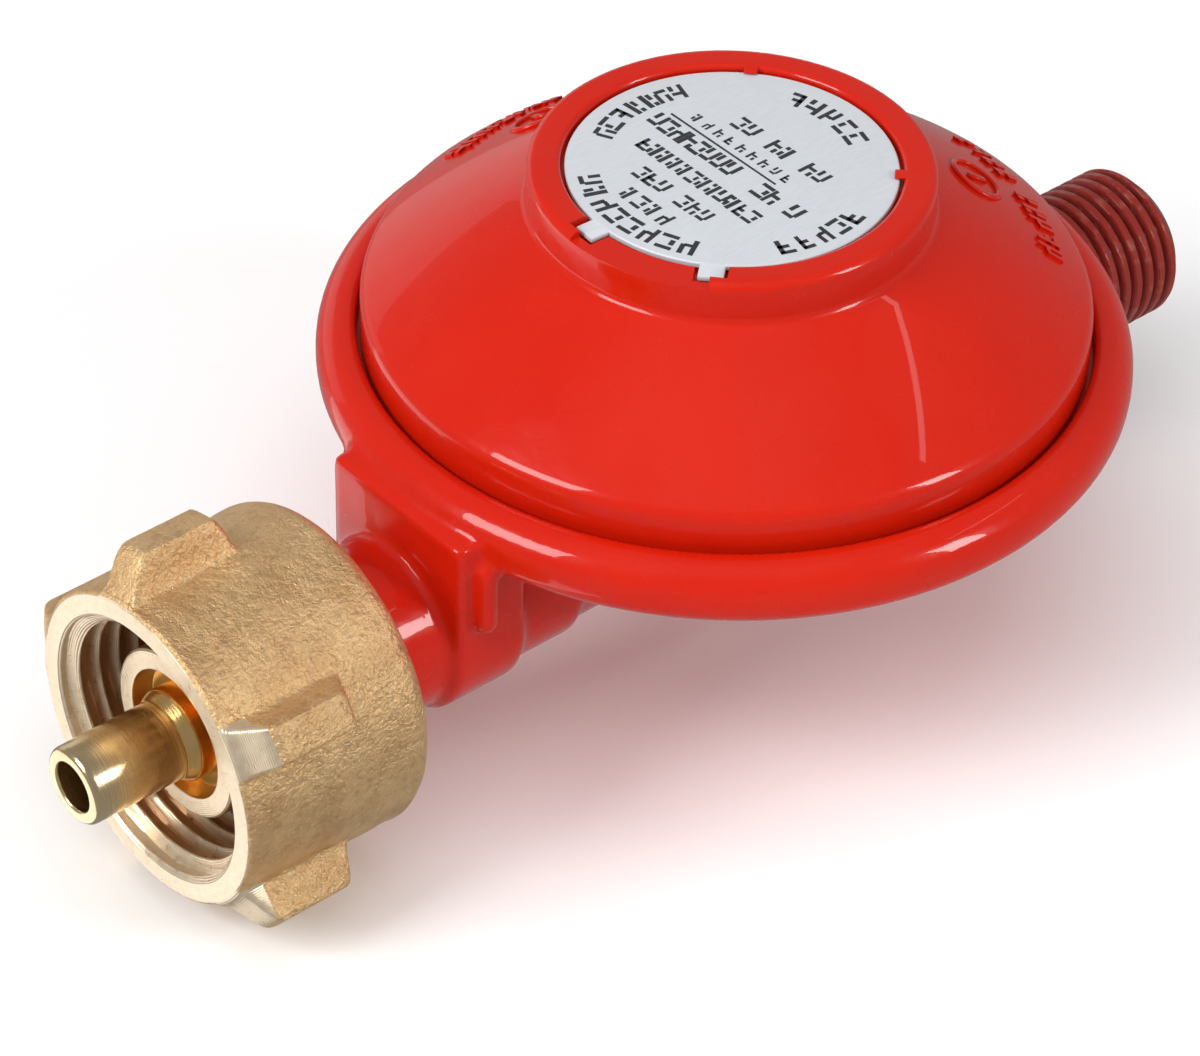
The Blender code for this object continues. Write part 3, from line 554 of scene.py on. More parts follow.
def castingField(points, s, shell, chamber):
    # about the distance to the surface of the casting, with its fillets
    edges, fillets = s["edges"], s["fillets"]
    x, y, z = points.T
    out, port = np.hypot(x, y), np.hypot(y, z - portZ)
    bowl = outlineDistance(out, z, shell)
    side = np.where(z > portZ, np.abs(y), port) - s["blockHalf"]
    blockEnds = np.maximum(s["blockFront"] - x, x - s["blockBack"])
    block = softMax(softMax(side, z - s["blockTop"], edges["blockTop"]), blockEnds, edges["blockEnd"])
    ribFront, ribBack, ribHalf, ribLow, ribTop = s["rib"]
    ribSide = softMax(np.maximum(ribFront - x, x - ribBack), np.abs(y) - ribHalf, edges["ribSide"])
    rib = softMax(ribSide, np.maximum(ribLow - z, z - ribTop), edges["ribEnd"])
    bossStart, bossEnd = s["bossEnds"]
    boss = softMax(port - s["bossRadius"], np.maximum(bossStart - x, x - bossEnd), edges["boss"])
    ductStart, ductEnd = s["ductEnds"]
    duct = softMax(port - s["ductRadius"], np.maximum(ductStart - x, x - ductEnd), edges["duct"])
    outer = softMin(block, rib, fillets["rib"])
    outer = softMin(outer, bowl, fillets["bowl"])
    outer = softMin(outer, duct, fillets["duct"])
    outer = softMin(outer, boss, fillets["boss"])
    return softMax(outer, -outlineDistance(out, z, chamber), edges["mouth"])


def meshPoints(mesh):
    # the points of a mesh, in the drawing's millimetres
    points = np.empty(len(mesh.vertices) * 3, np.float32)
    mesh.vertices.foreach_get("co", points)
    return points.reshape(-1, 3).astype(float) * 1000 - origin


def setPoints(mesh, points):
    mesh.vertices.foreach_set("co", toPlace(points).astype(np.float32).ravel())
    mesh.update()


def dress(obj, *finishes):
    obj.data.materials.clear()
    for finish in finishes:
        obj.data.materials.append(finish)


def makeCasting(s):
    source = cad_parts["lower_body"]
    obj = bpy.data.objects.new("castBody", source.data.copy())
    bpy.context.scene.collection.objects.link(obj)
    tidyMesh(obj.data, None)
    remesh = obj.modifiers.new("grid", "REMESH")
    remesh.mode = "VOXEL"
    remesh.voxel_size = s["voxel"] * 0.001
    applyModifiers(obj)
    points = meshPoints(obj.data)
    outlines = shellOutline(s), chamberOutline(s)
    near = np.abs(castingField(points, s, *outlines)) < s["reach"]
    for draw in range(s["draws"]):
        spots = points[near]
        here = castingField(spots, s, *outlines)
        slope = np.stack([
            (castingField(spots + step, s, *outlines) - castingField(spots - step, s, *outlines)) / (2 * s["probe"])
            for step in np.eye(3) * s["probe"]
        ], axis=-1)
        size = np.maximum((slope ** 2).sum(1), s["leastSlope"])
        move = slope * (here / size)[:, None]
        points[near] = spots - np.clip(move, -s["longestDraw"], s["longestDraw"])
    setPoints(obj.data, points)
    dress(obj, paint)
    obj.data.shade_smooth()
    obj.data.set_sharp_from_angle(angle=math.radians(s["sharpAngle"]))
    return obj


casting = makeCasting(castingSizes)
print("casting", len(casting.data.polygons))


coverSizes = {
    "flangeRadius": 30.7,
    "flange": (2.4, 3.6),
    "stepRadius": 28.7,
    "stepZ": 8.1,
    "crownZ": 15.9,
    "bulge": 0.4,
    "crownSpan": (0.12, 0.9, 12),  # the bulged part of the slope, and its steps
    "collarRadius": 15.85,
    "pocketRadius": 13.2,
    "pocketZ": 18.55,
    "notchAngles": (-182.0, -138.0),
    "notchWidth": 2.6,
    "notchRadius": 14.9,
    "lowTop": 19.15,
    "lowRadii": (12, 17),
    "lowSteps": 12,
    "screwRadius": 9.3,
    "insideLine": [(9.3, 13.2, 0), (14.5, 13.2, 1.0), (25.66, 6.0, 2.0), (26.8, 3.6, 0)],
    "breather": {"angle": 50.0, "out": 22.0, "radius": 0.8, "low": 5, "high": 20, "steps": 24},
    "stakes": {"angles": (-45.0, 42.0), "inward": 0.75, "outward": 0.9, "width": 1.1, "rise": 0.9, "edge": 0.3},
    "clearance": 0.02,  # keeps faces from lying on one another
    "sharpAngle": 32,
    "steps": 288,
}


def crownEnds(s):
    # the foot and the head of the crown's slope, as radius and height
    return np.array([s["stepRadius"], s["stepZ"] - 0.2]), np.array([s["collarRadius"], s["crownZ"] + 0.25])


def coverProfile(s):
    low, high = s["flange"]
    foot, head = crownEnds(s)
    out = np.array([head[1] - foot[1], foot[0] - head[0]])
    out = out / np.linalg.norm(out)
    shares = np.linspace(*s["crownSpan"])
    crown = [tuple(foot + (head - foot) * t + out * s["bulge"] * 4 * t * (1 - t)) for t in shares]
    corners = [(s["flangeRadius"], low, 0), (s["flangeRadius"], high, 0.2), (s["stepRadius"], high, 0), (*foot, 1.5)]
    corners += [(a, b, 0) for a, b in crown]
    corners += [
        (*head, 0.8), (s["collarRadius"], collarTop, 0.75), (s["pocketRadius"], collarTop, 0.45),
        (s["pocketRadius"], s["pocketZ"], 0), (s["screwRadius"], s["pocketZ"], 0.1),
    ]
    corners += s["insideLine"] + [(s["insideLine"][-1][0], low, 0)]
    return splitLine(roundedLine(corners, step=7), 1.3)


def makeCover(s):
    cover = turnedObject("coverShell", coverProfile(s), s["steps"], "Z", [paint], None)
    pocket, clearance = s["pocketRadius"], s["clearance"]
    # the slots for the plate's tabs, and the part of the collar between them that is cut lower
    for angle in s["notchAngles"]:
        floor, top = s["pocketZ"] + clearance, collarTop + overrun
        slot = radialBar("slot", angle, pocket - overrun, s["notchRadius"], s["notchWidth"], floor, top)
        combine(cover, slot, "DIFFERENCE", None)
    inner, outer = s["lowRadii"]
    first, last = (math.radians(a) for a in s["notchAngles"])
    rounds = [first + (last - first) * k / s["lowSteps"] for k in range(s["lowSteps"] + 1)]
    corners = [(inner * math.cos(t), inner * math.sin(t)) for t in rounds]
    corners += [(outer * math.cos(t), outer * math.sin(t)) for t in reversed(rounds)]
    combine(cover, wedge("lowSector", corners, s["lowTop"], collarTop + overrun), "DIFFERENCE", None)
    # metal pushed over the plate's edge
    k = s["stakes"]
    for angle in k["angles"]:
        low, high = s["pocketZ"] + k["rise"], collarTop - clearance
        stake = radialBar("stake", angle, pocket - k["inward"], pocket + k["outward"], k["width"], low, high)
        bevelEdges(stake, k["edge"], 3)
        combine(cover, stake, "UNION", None)
    b = s["breather"]
    turn, radius = math.radians(b["angle"]), b["radius"]
    line = [(0, b["low"]), (radius, b["low"]), (radius, b["high"]), (0, b["high"])]
    hole = turnedObject("hole", line, b["steps"], "Z", [], None)
    shift = b["out"] * math.cos(turn) / 1000, b["out"] * math.sin(turn) / 1000, 0
    hole.data.transform(Matrix.Translation(shift))
    combine(cover, hole, "DIFFERENCE", s["sharpAngle"])
    dress(cover, paint)
    return cover


cover = makeCover(coverSizes)
print("cover", len(cover.data.polygons))


plateSizes = {
    "radius": 12.9,
    "low": 18.85,
    "top": 19.35,
    "tabRadius": 14.5,
    "tabWidth": 2.0,
    "tabEdge": 0.12,
    "clearance": 0.02,
    "steps": 192,
    "inkHeight": 0.03,
    "inkSunk": 0.006,
    "inkSeed": 7,
    "rule": (0.95, -3.9, 8.25, 0.09),  # x, first and last y, half width
    "arcSteps": 24,
}

# rows of marks: (x of the row, first y, last y), height of a mark and the distance between marks
plateRows = [
    {"rows": [(4.3, -5.4, 5.2)], "mark": 1.6, "pitch": 1.18},
    {"rows": [(2.1, -3.9, 7.8)], "mark": 1.0, "pitch": 1.28},
    {"rows": [(-0.4, -7.5, 8.2)], "mark": 1.8, "pitch": 1.16},
    {"rows": [(-3.3, -5.9, 6.3), (-6.0, -3.6, 3.7), (-8.6, -2.0, 2.2)], "mark": 1.55, "pitch": 1.1},
]
# arcs of marks: (radius, first angle, last angle)
plateArcs = [
    {"arcs": [(11.2, 211, 151)], "mark": 1.9, "pitch": 1.6},
    {"arcs": [(10.7, 117, 72), (10.4, 20, -18), (11.0, -76, -119)], "mark": 1.85, "pitch": 1.38},
]


def startTree(tree, result, inputs):
    # names the sockets of a geometry tree, and returns its net and its inputs
    for name, kind, value in inputs:
        socket = tree.interface.new_socket(name, in_out="INPUT", socket_type="NodeSocket" + kind)
        if value is not None:
            socket.default_value = value
    tree.interface.new_socket(result, in_out="OUTPUT", socket_type="NodeSocketGeometry")
    net = Net(tree)
    return net, net.node("NodeGroupInput")


def endTree(net, geometry, finish):
    real = net.node("GeometryNodeRealizeInstances", None, {"Geometry": geometry})
    done = net.node("GeometryNodeSetMaterial", None, {"Geometry": real, "Material": finish})
    net.node("NodeGroupOutput", None, {0: done})


def makeMarkTree():
    tree = bpy.data.node_groups.new("plateMarks", "GeometryNodeTree")
    net, given = startTree(tree, "Marks", [
        ("Rows", "Geometry", None), ("Mark Height", "Float", 0.001), ("Spacing", "Float", 0.001),
        ("Thickness", "Float", 0.00003), ("Seed", "Int", 1), ("Finish", "Material", None),
    ])
    # every mark is a few bars on a grid one high and 0.7 wide, and none is a letter
    marks = []
    for bars in (
        [(-0.24, 0, 0.2, 1), (0.2, 0.18, 0.2, 0.64), (0, -0.1, 0.3, 0.18)],
        [(0, 0.4, 0.66, 0.2), (0, -0.4, 0.66, 0.2), (-0.2, 0, 0.2, 0.34)],
        [(-0.06, 0, 0.24, 1), (0.26, -0.38, 0.22, 0.24), (0.24, 0.2, 0.2, 0.4)],
        [(-0.22, -0.14, 0.2, 0.72), (0.06, 0.32, 0.56, 0.2), (0.24, -0.25, 0.2, 0.5)],
        [(0, 0.4, 0.64, 0.2), (0.08, 0, 0.48, 0.2), (0.22, 0, 0.2, 0.9)],
        [(0.22, 0, 0.2, 1), (-0.1, -0.12, 0.44, 0.2), (-0.24, 0.3, 0.2, 0.36)],
    ):
        boxes = [
            net.node("GeometryNodeTransform", None, {
                "Geometry": net.node("GeometryNodeMeshCube", None, {"Size": (wide, tall, 1)}),
                "Translation": (x, y, 0.5),
            })
            for x, y, wide, tall in bars
        ]
        joined = net.node("GeometryNodeJoinGeometry", None, {"Geometry": boxes})
        marks.append(net.node("GeometryNodeGeometryToInstance", None, {"Geometry": joined}))
    choice = net.node("GeometryNodeJoinGeometry", None, {"Geometry": marks[::-1]})
    lines = net.node("GeometryNodeMeshToCurve", None, {"Mesh": given["Rows"]})
    points = net.node("GeometryNodeCurveToPoints", {"mode": "LENGTH"}, {"Curve": lines, "Length": given["Spacing"]})
    facing = net.node("FunctionNodeAlignRotationToVector", {"axis": "X", "pivot_axis": "Z"}, {
        "Vector": points["Tangent"],
    })
    chance = net.node("FunctionNodeRandomValue", {"data_type": "FLOAT"}, {"Seed": given["Seed"]})["Value_001"]
    kept = net.node("GeometryNodeDeleteGeometry", {"domain": "POINT"}, {
        "Geometry": points["Points"], "Selection": chance < 0.1,
    })
    pick = net.node("FunctionNodeRandomValue", {"data_type": "INT"}, {
        "Min_002": 0, "Max_002": len(marks) - 1, "Seed": given["Seed"],
    })["Value_002"]
    wide = net.node("FunctionNodeRandomValue", {"data_type": "FLOAT"}, {
        "Min_001": 0.85, "Max_001": 1.1, "Seed": given["Seed"] + 3,
    })["Value_001"]
    height = given["Mark Height"]
    size = net.node("ShaderNodeCombineXYZ", None, {"X": height * wide, "Y": height, "Z": given["Thickness"]})
    placed = net.node("GeometryNodeInstanceOnPoints", None, {
        "Points": kept, "Instance": choice, "Pick Instance": True, "Instance Index": pick,
        "Rotation": facing, "Scale": size,
    })
    endTree(net, placed, given["Finish"])
    return tree


def runTree(obj, tree, values):
    modifier = obj.modifiers.new("nodes", "NODES")
    modifier.node_group = tree
    for socket in tree.interface.items_tree:
        if socket.item_type == "SOCKET" and socket.in_out == "INPUT" and socket.name in values:
            modifier[socket.identifier] = values[socket.name]
    applyModifiers(obj)
    return obj


def lineObject(name, lines):
    # open lines of points, as the edges of one mesh
    points, edges = [], []
    for line in lines:
        edges += [(len(points) + k, len(points) + k + 1) for k in range(len(line) - 1)]
        points += line
    mesh = bpy.data.meshes.new(name)
    mesh.from_pydata(toPlace(points), edges, [])
    obj = bpy.data.objects.new(name, mesh)
    bpy.context.scene.collection.objects.link(obj)
    return obj


def joinObjects(name, parts):
    bm = bmesh.new()
    for part in parts:
        bm.from_mesh(part.data)
    first = parts[0]
    bm.to_mesh(first.data)
    bm.free()
    for part in parts[1:]:
        bpy.data.objects.remove(part)
    first.name = first.data.name = name
    return first


def makePlate(s):
    corners = [(0, s["low"], 0), (s["radius"], s["low"], 0.1), (s["radius"], s["top"], 0.16), (0, s["top"], 0)]
    profile = roundedLine(corners, closed=False)
    plate = turnedObject("namePlate", profile, s["steps"], "Z", [foil], None)
    low, high = s["low"] + s["clearance"], s["top"] - s["clearance"]
    for angle in coverSizes["notchAngles"]:
        tab = radialBar("tab", angle, s["radius"] - overrun, s["tabRadius"], s["tabWidth"], low, high)
        bevelEdges(tab, s["tabEdge"], 2)
        combine(plate, tab, "UNION")
    dress(plate, foil)
    return plate


def makeMarks(s, tree):
    groups = []
    level = s["top"] - s["inkSunk"]
    for number, group in enumerate(plateRows + plateArcs):
        lines = [[(x, start, level), (x, end, level)] for x, start, end in group.get("rows", [])]
        for radius, start, end in group.get("arcs", []):
            lines.append([(a, b, level) for a, b in arcLine((0, 0), radius, start, end, s["arcSteps"] - 1)])
        groups.append(runTree(lineObject("marks", lines), tree, {
            "Mark Height": group["mark"] * 0.001, "Spacing": group["pitch"] * 0.001,
            "Thickness": s["inkHeight"] * 0.001, "Seed": s["inkSeed"] + number, "Finish": ink,
        }))
    x, start, end, half = s["rule"]
    corners = [(x - half, start), (x + half, start), (x + half, end), (x - half, end)]
    rule = wedge("rule", corners, level, level + s["inkHeight"])
    marks = joinObjects("plateMarks", groups + [rule])
    dress(marks, ink)
    return marks


reliefSizes = {
    "height": 0.32,
    "sunk": 0.15,
    "mark": 1.9,
    "pitch": 1.7,
    "arcs": [(25.3, 0, -37), (25.6, 106, 82)],
    "ovals": [(20.9, -20), (20.9, 95)],
    "ovalHalf": (2.5, 1.7),
    "ovalWidth": 0.55,
    "ovalDraft": 0.1,
    "ovalSteps": 60,
    "ovalBar": (1.5, 0.5),  # length and width
    "arcSteps": 20,
    "seed": 21,
}


def crownHeight(s, radius):
    foot, head = crownEnds(s)
    share = (foot[0] - radius) / (foot[0] - head[0])
    upright = 1.2  # the bulge stands square to the slope, so it is taller measured upright
    return foot[1] + (head[1] - foot[1]) * share + s["bulge"] * 4 * share * (1 - share) * upright


def ovalRing(s, centre, along, high):
    # a raised oval band, its long way set by a direction
    across = np.array([-along[1], along[0]])
    turns = np.linspace(0, 2 * math.pi, s["ovalSteps"], endpoint=False)
    (long, short), side = s["ovalHalf"], s["ovalWidth"] / 2
    top = side - s["ovalDraft"]
    points = []
    for turn in turns:
        for grow, z in ((-side, 0), (side, 0), (top, high), (-top, high)):
            spot = centre + along * (long + grow) * math.cos(turn) + across * (short + grow) * math.sin(turn)
            points.append((*spot, z))
    return makeObject("oval", points, loopFaces(len(turns), 4), [paint], None)


def makeRelief(s, tree):
    # raised marks of the casting, laid flat and then dropped on to the crown
    tall = s["height"] + s["sunk"]
    lines = [
        [(a, b, 0) for a, b in arcLine((0, 0), radius, start, end, s["arcSteps"] - 1)]
        for radius, start, end in s["arcs"]
    ]
    bars = runTree(lineObject("bars", lines), tree, {
        "Mark Height": s["mark"] * 0.001, "Spacing": s["pitch"] * 0.001, "Thickness": tall * 0.001,
        "Seed": s["seed"], "Finish": paint,
    })
    parts = [bars]
    barLength, barWidth = s["ovalBar"]
    for radius, angle in s["ovals"]:
        out, side = outAndSide(angle)
        parts.append(ovalRing(s, out * radius, side, tall))
        parts.append(radialBar("bar", angle, radius - barLength / 2, radius + barLength / 2, barWidth, 0, tall))
    relief = joinObjects("crownRelief", parts)
    points = meshPoints(relief.data)
    points[:, 2] += crownHeight(coverSizes, np.hypot(points[:, 0], points[:, 1])) - s["sunk"]
    setPoints(relief.data, points)
    dress(relief, paint)
    return relief


markTree = makeMarkTree()
plate = makePlate(plateSizes)
marks = makeMarks(plateSizes, markTree)
relief = makeRelief(reliefSizes, markTree)
print("name plate", len(marks.data.polygons))


threadSizes = {
    "outlet": {
        "major": 6.57, "minor": 6.05, "pitch": 1.337, "start": 33.9, "end": outletX, "chamfer": 1.0,
        "bore": 3.0, "cone": 4.9, "coneDepth": 3.3, "coneRun": (0.5, 0.8), "shank": 4.9, "shankStart": 24.0,
    },
    "nut": {"major": 10.9, "minor": 9.9, "pitch": 1.814, "start": -58.0, "end": -45.4, "chamfer": 0},
}


def makeThreadTree():
    # a closed rod about X with a left-hand thread, its ends bevelled
    tree = bpy.data.node_groups.new("threadedRod", "GeometryNodeTree")
    net, given = startTree(tree, "Rod", [
        ("Start", "Geometry", None), ("Major Radius", "Float", 0.006), ("Minor Radius", "Float", 0.005),
        ("Pitch", "Float", 0.0013), ("Length", "Float", 0.01), ("Chamfer", "Float", 0.0008),
        ("Steps Around", "Int", 96), ("Steps Along", "Int", 100), ("Finish", "Material", None),
    ])
    rod = net.node("GeometryNodeMeshCylinder", {"fill_type": "TRIANGLE_FAN"}, {
        "Vertices": given["Steps Around"], "Side Segments": given["Steps Along"],
        "Radius": 1.0, "Depth": given["Length"],
    })
    spot = net.node("GeometryNodeInputPosition")
    parts = net.node("ShaderNodeSeparateXYZ", None, {0: spot})
    angle = parts["Y"].maths("ARCTAN2", parts["Y"], parts["X"])
    turn = parts["Z"] / given["Pitch"] + angle / (2 * math.pi)
    wave = turn.maths("PINGPONG", turn, 0.5) * 2
    flank = net.node("ShaderNodeMapRange", {"interpolation_type": "SMOOTHSTEP"}, {
        "Value": wave, "From Min": 0.05, "From Max": 0.62,
    })
    full = given["Minor Radius"] + (given["Major Radius"] - given["Minor Radius"]) * flank
    room = given["Length"] / 2 - parts["Z"].maths("ABSOLUTE", parts["Z"])
    limit = given["Major Radius"] - given["Chamfer"] + room
    radius = full.maths("MINIMUM", full, limit)
    flat = net.node("ShaderNodeCombineXYZ", None, {
        "X": parts["X"] * radius, "Y": parts["Y"] * radius, "Z": parts["Z"],
    })
    shaped = net.node("GeometryNodeSetPosition", None, {"Geometry": rod, "Position": flat})
    laid = net.node("GeometryNodeTransform", None, {"Geometry": shaped, "Rotation": (0, math.pi / 2, 0)})
    endTree(net, laid, given["Finish"])
    return tree


threadTree = makeThreadTree()


def makeRod(name, s, stepsAround, stepsPerPitch, finish):
    length = s["end"] - s["start"]
    obj = runTree(lineObject(name, [[(0, 0, 0), (1, 0, 0)]]), threadTree, {
        "Major Radius": s["major"] * 0.001, "Minor Radius": s["minor"] * 0.001,
        "Pitch": s["pitch"] * 0.001, "Length": length * 0.001, "Chamfer": s["chamfer"] * 0.001,
        "Steps Around": stepsAround, "Steps Along": round(length / s["pitch"] * stepsPerPitch), "Finish": finish,
    })
    obj.data.transform(Matrix.Translation(Vector(toPlace(((s["start"] + s["end"]) / 2, 0, portZ)))))
    tidyMesh(obj.data, None)
    return obj


def makeNipple(s):
    nipple = makeRod("outletNipple", s, 128, 14, darkPaint)
    start, end = s["shankStart"], s["start"] + overrun
    line = [(0, start), (s["shank"], start), (s["shank"], end), (0, end)]
    combine(nipple, turnedObject("shank", line, 64, "X", [darkPaint], None), "UNION", None)
    wider, past = s["coneRun"]
    first, last = start - overrun, s["end"] + past
    line = [
        (0, first), (s["bore"], first), (s["bore"], s["end"] - s["coneDepth"]),
        (s["cone"], s["end"]), (s["cone"] + wider, last), (0, last),
    ]
    combine(nipple, turnedObject("bore", line, 96, "X", [darkPaint], None), "DIFFERENCE", 40)
    dress(nipple, darkPaint)
    return nipple


nipple = makeNipple(threadSizes["outlet"])
print("outlet nipple", len(nipple.data.polygons))


nutSizes = {
    "front": -57.0,
    "back": -39.8,
    "frontRadius": 12.9,
    "backRadius": 13.4,
    "backRound": 1.8,
    "mouth": 11.1,
    "mouthDepth": 1.2,
    "boreRadius": 9.9,
    "web": -44.8,
    "hole": 5.3,
    "wings": 5,
    "firstAngle": 32.0,
    "cutWings": (0, 4),
    "tipRadius": 16.2,
    "tipX": (-54.8, -47.9),
    "rootX": (-56.9, -46.6),
    "rootRadius": 12.2,
    "rootHalf": 2.05,
    "tipHalf": 1.6,
    "blends": {"ends": 1.2, "crest": 1.4, "sides": 1.5, "barrel": 1.3},
    # the grid is finer where the wings start and end: from, to and step along, then degrees from a wing's middle
    "barrelGrid": [(-56.4, -54.2, 0.2), (-54.2, -48.3, 0.5), (-48.3, -46.0, 0.2), (-46.0, -41.6, 0.5)],
    "wingGrid": [
        0, 1.2, 2.4, 3.2, 3.9, 4.4, 4.9, 5.4, 5.9, 6.4,
        6.9, 7.4, 7.9, 8.5, 9.1, 9.8, 10.6, 11.6, 12.8, 14.4,
    ],
    "gapGrid": (16, 56, 28),
    "ripple": 0.035,
    "wingSkin": (12.2, -41),  # wings rise only outside this radius and in front of this place
    "castSkin": (12.0, -56.7),
    "faceCut": 0.07,
    "tipCut": (0.165, -54.75, 12.5),  # half angle, back and inner radius of the cut wing tips
    "sharpAngle": 42,
}


def nutProfile(s):
    # the outside first, from the mouth back to the hole, then the hole, the web and the bore
    front, back = s["front"], s["back"]
    frontRadius, backRadius = s["frontRadius"], s["backRadius"]
    outside = roundedLine([
        (s["mouth"], front, 0), (frontRadius, front, 0.45), (backRadius, back, s["backRound"]), (s["hole"], back, 0),
    ], closed=False, step=8)
    places = np.concatenate([np.arange(*stretch) for stretch in s["barrelGrid"]])
    edge = [k for k, (r, x) in enumerate(outside) if r > frontRadius - 0.4 and x < front + 1][-1]
    barrel = [(frontRadius + (backRadius - frontRadius) * (x - front) / (back - front), x) for x in places]
    outside = outside[:edge + 1] + barrel + outside[edge + 1:]
    inside = [(s["hole"], back), (s["hole"], s["web"]), (s["boreRadius"], s["web"])]
    return outside, inside + [(s["boreRadius"], front + s["mouthDepth"])]


def wingAngles(s):
    near, between = s["wingGrid"], list(np.linspace(*s["gapGrid"]))
    share = 360 / s["wings"]
    single = near + between + [share - a for a in near[:0:-1]]
    return np.radians([s["firstAngle"] + share * k + a for k in range(s["wings"]) for a in single])


def wingOffset(angle, wing, s):
    # how far an angle is from the middle of a wing
    middle = math.radians(s["firstAngle"] + 360 / s["wings"] * wing)
    return (angle - middle + math.pi) % (2 * math.pi) - math.pi


def wingRadius(offset, x, s):
    # height of the wing's surface above the port's axis, at an angle from its middle and a place along the nut
    blends = s["blends"]
    share = np.linspace(-0.6, 1.3, 60)
    wallRadius = s["rootRadius"] + (s["tipRadius"] - s["rootRadius"]) * share
    wallHalf = s["rootHalf"] + (s["tipHalf"] - s["rootHalf"]) * share
    wallAngle = np.arcsin(wallHalf / wallRadius)
    wall = np.interp(np.abs(offset), wallAngle[::-1], wallRadius[::-1])
    # inside the walls the height climbs steeply, so that only the crest limits it
    wall = np.where(np.abs(offset) < wallAngle[-1], wallRadius[-1] + (wallAngle[-1] - np.abs(offset)) * 60, wall)
    rise = s["tipRadius"] - s["rootRadius"]
    frontSlope = s["rootRadius"] + (x - s["rootX"][0]) / (s["tipX"][0] - s["rootX"][0]) * rise
    backSlope = s["rootRadius"] + (s["rootX"][1] - x) / (s["rootX"][1] - s["tipX"][1]) * rise
    crest = softMin(softMin(frontSlope, backSlope, blends["ends"]), np.full_like(x, s["tipRadius"]), blends["crest"])
    return softMin(wall, crest, blends["sides"])


def castRipple(x, angle, size):
    # a slow, even unevenness of the casting
    long = np.sin(1.9 * x + 3 * angle) + np.sin(5 * angle - 0.9 * x + 1.3)
    return size * (long + 0.6 * np.sin(11 * angle + 2.7 * x + 0.4))


def makeNut(s):
    outside, inside = nutProfile(s)
    profile = outside + inside
    radius, x = (np.array(v)[:, None] for v in zip(*profile))
    angles = wingAngles(s)[None, :]
    radius, x, angle = radius + 0 * angles, x + 0 * angles, angles + 0 * x
    isOutside = (np.arange(len(profile)) < len(outside))[:, None]
    (wingFrom, wingBack), (castFrom, castFront) = s["wingSkin"], s["castSkin"]
    skin = isOutside & (radius > wingFrom) & (x < wingBack)
    rough = isOutside & (radius > castFrom) & (x > castFront)
    shaped = radius + np.where(rough, castRipple(x, angle, s["ripple"]), 0)
    for wing in range(s["wings"]):
        high = wingRadius(wingOffset(angle, wing, s), x, s)
        shaped = np.where(skin, softMax(shaped, high, s["blends"]["barrel"]), shaped)
    points = np.stack([x, -shaped * np.cos(angle), portZ + shaped * np.sin(angle)], axis=-1)
    rows, columns = radius.shape
    faces = loopFaces(rows, columns)
    middleRadius = ((shaped + np.roll(shaped, -1, 0)) / 2).ravel()
    middleX = ((x + np.roll(x, -1, 0)) / 2).ravel()
    # 0 keeps the cast skin, 1 is machined
    faceKind = np.zeros(rows * columns, int)
    faceKind[(middleX < s["front"] + s["faceCut"]) | (np.repeat(np.arange(rows), columns) >= len(outside))] = 1
    half, cutBack, cutFrom = s["tipCut"]
    for wing in s["cutWings"]:
        offset = np.abs(wingOffset(angle, wing, s)).ravel()
        faceKind[(offset < half) & (middleX < cutBack) & (middleRadius > cutFrom)] = 1
    nut = makeObject("unionNut", points.reshape(-1, 3), faces, [roughBrass, faceBrass], None, faceKind)
    tap = makeRod("tap", threadSizes["nut"], 160, 12, faceBrass)
    dress(tap, roughBrass, faceBrass)
    tap.data.polygons.foreach_set("material_index", np.ones(len(tap.data.polygons), np.int32))
    combine(nut, tap, "DIFFERENCE", s["sharpAngle"])
    return nut


nut = makeNut(nutSizes)
print("union nut", len(nut.data.polygons))


stemSizes = {
    "bore": 2.05,
    "tip": 3.2,
    "hub": 3.8,
    "hubStart": -55.4,
    "hubRise": 0.9,
    "collar": (-54.3, -48.2),
    "collarRadius": 7.0,
    "recess": (5.1, 1.8),
    "neck": 5.0,
    "neckEnd": -39.5,
    "thread": 4.5,
    "chamfer": 0.5,
    "end": -29.0,
}


def makeStem(s):
    front, back = s["collar"]
    recessRadius, recessDepth = s["recess"]
    recessFloor, chamfer = front + recessDepth, s["chamfer"]
    corners = [  # radius, place along the port, rounding
        (s["bore"], stemTipX, 0.25), (s["tip"], stemTipX, 0.55),
        (s["tip"], s["hubStart"], 0.5), (s["hub"], s["hubStart"] + s["hubRise"], 0.7),
        (s["hub"], recessFloor, 0.2), (recessRadius, recessFloor, 0.1), (recessRadius + 0.25, front, 0.12),
        (s["collarRadius"], front, 0.35), (s["collarRadius"], back, 0.3),
        (s["neck"], back, 0.2), (s["neck"], s["neckEnd"], 0), (s["thread"], s["neckEnd"], 0),
        (s["thread"], s["end"] - chamfer, 0), (s["thread"] - chamfer, s["end"], 0), (s["bore"], s["end"], 0),
    ]
    profile = splitLine(roundedLine(corners, step=12), 2.5)
    # the sealing face is machined like the nut's
    kinds = [1 if r > recessRadius + 0.1 and abs(x - front) < 0.2 else 0 for r, x in profile]
    return turnedObject("inletStem", profile, 160, "X", [goldBrass, faceBrass], 38, kinds)


stem = makeStem(stemSizes)
print("inlet stem", len(stem.data.polygons))


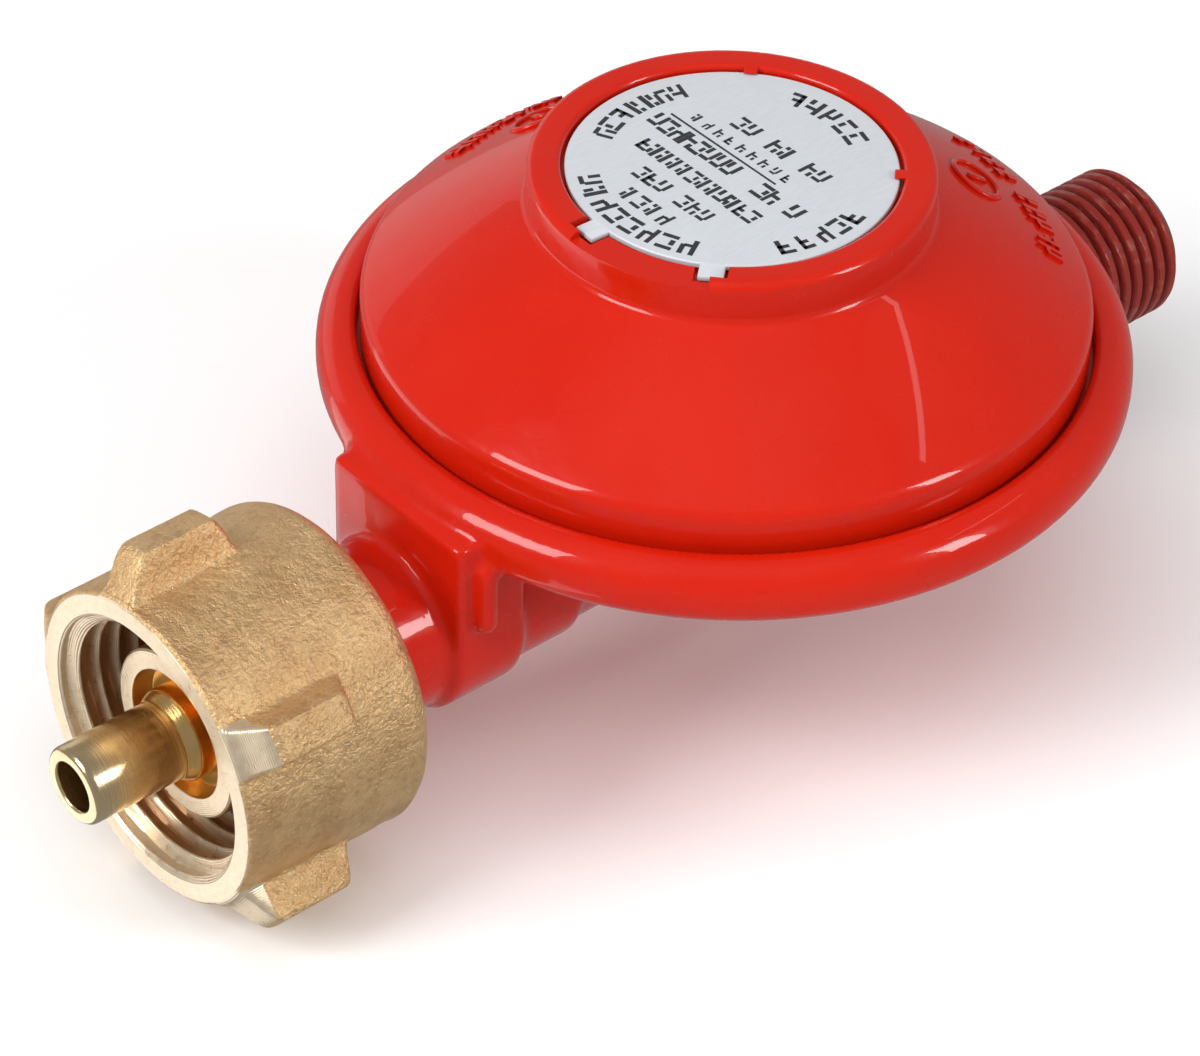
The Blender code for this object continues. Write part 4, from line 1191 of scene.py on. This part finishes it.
pieces = [
    (casting, "housing", "lower_body", "red_paint"),
    (cover, "housing", "upper_cover", "red_paint"),
    (plate, "housing", "label_plate", "label_aluminium"),
    (nipple, "housing", "outlet_nipple", "red_lacquered_brass"),
    (stem, "housing", "inlet_stem", "turned_brass"),
    (nut, "nut", "union_nut", "cast_brass"),
]
for piece, body, node, slot in pieces:
    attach(piece, body)
    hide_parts(node)
for piece, slot in ((marks, "label_aluminium"), (relief, "red_paint")):
    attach(piece, "housing")

# the inner pieces keep their own shapes and only get a finish
keptFinishes = {
    zincSteel: [
        "spring_seat", "upper_plate", "lower_plate", "stem_nut", "lever",
        "lever_pin", "lever_bracket", "bracket_screw_1", "bracket_screw_2",
    ],
    springWire: ["main_spring"],
    rubber: ["diaphragm", "valve_pad", "stem_gasket"],
    goldBrass: ["adjusting_screw", "diaphragm_stem", "valve_plunger", "seat_insert"],
    bronze: ["inlet_filter"],
}
for finish, names in keptFinishes.items():
    for name in names:
        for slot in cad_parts[name].material_slots:
            slot.material = finish
print("inner parts finished")


stageSizes = {"floor": 1.6, "world": 0.3, "aimHeight": 8}
# the lamp under the floor lights nothing, and shows only in polished metal
lamps = [
    # name, azimuth, elevation, distance, width, height, twist, power, seen in gloss
    ("overLamp", -140, 72, 0.9, 0.8, 0.8, 0, 3.8, False),
    ("leftLamp", 169, 36, 0.7, 0.31, 0.30, 12, 3.2, True),
    ("rightLamp", -66, 27, 0.7, 0.13, 0.26, 0, 1.7, True),
    ("stripLamp", -34, 51, 0.8, 0.36, 0.016, 0, 0.06, True),
    ("backLamp", 75, 6, 0.9, 1.3, 0.4, 0, 0.7, True),
    ("underLamp", 138, -39, 0.7, 0.9, 0.7, 0, 2.3, True),
]


def addStage(s):
    finish = Finish("paleFloor", {
        "Metallic": 0.0, "Roughness": 0.9, "Base Color": (0.97, 0.97, 0.97), "Specular IOR Level": 0.1,
    })
    reach = s["floor"] * 1000
    floorZ = cadBounds[0][2] * 1000 - origin[2]
    points = [(-reach, -reach, floorZ), (reach, -reach, floorZ), (reach, reach, floorZ), (-reach, reach, floorZ)]
    mesh = bpy.data.meshes.new("floor")
    mesh.from_pydata(toPlace(points), [], [(0, 1, 2, 3)])
    mesh.materials.append(finish.material)
    floor = bpy.data.objects.new("floor", mesh)
    bpy.context.scene.collection.objects.link(floor)
    floor.visible_glossy = floor.visible_shadow = False
    world = bpy.data.worlds.new("studio")
    world.use_nodes = True
    back = world.node_tree.nodes["Background"]
    back.inputs["Color"].default_value = (1, 1, 1, 1)
    back.inputs["Strength"].default_value = s["world"]
    bpy.context.scene.world = world
    target = Vector(toPlace((0, 0, s["aimHeight"])))
    for name, azimuth, elevation, distance, width, height, twist, power, inGloss in lamps:
        light = bpy.data.lights.new(name, "AREA")
        light.shape, light.size, light.size_y, light.energy = "RECTANGLE", width, height, power
        lamp = bpy.data.objects.new(name, light)
        a, e = math.radians(azimuth), math.radians(elevation)
        away = Vector((math.cos(a) * math.cos(e), math.sin(a) * math.cos(e), math.sin(e)))
        lamp.location = target + away * distance
        facing = (target - lamp.location).to_track_quat("-Z", "Y").to_matrix().to_4x4()
        lamp.rotation_euler = (facing @ Matrix.Rotation(math.radians(twist), 4, "Z")).to_euler()
        lamp.visible_glossy, lamp.visible_diffuse = inGloss, elevation > 0
        bpy.context.scene.collection.objects.link(lamp)


addStage(stageSizes)
addCamera(cameraView)
bpy.context.scene.view_settings.view_transform = "Standard"
print("stage set")
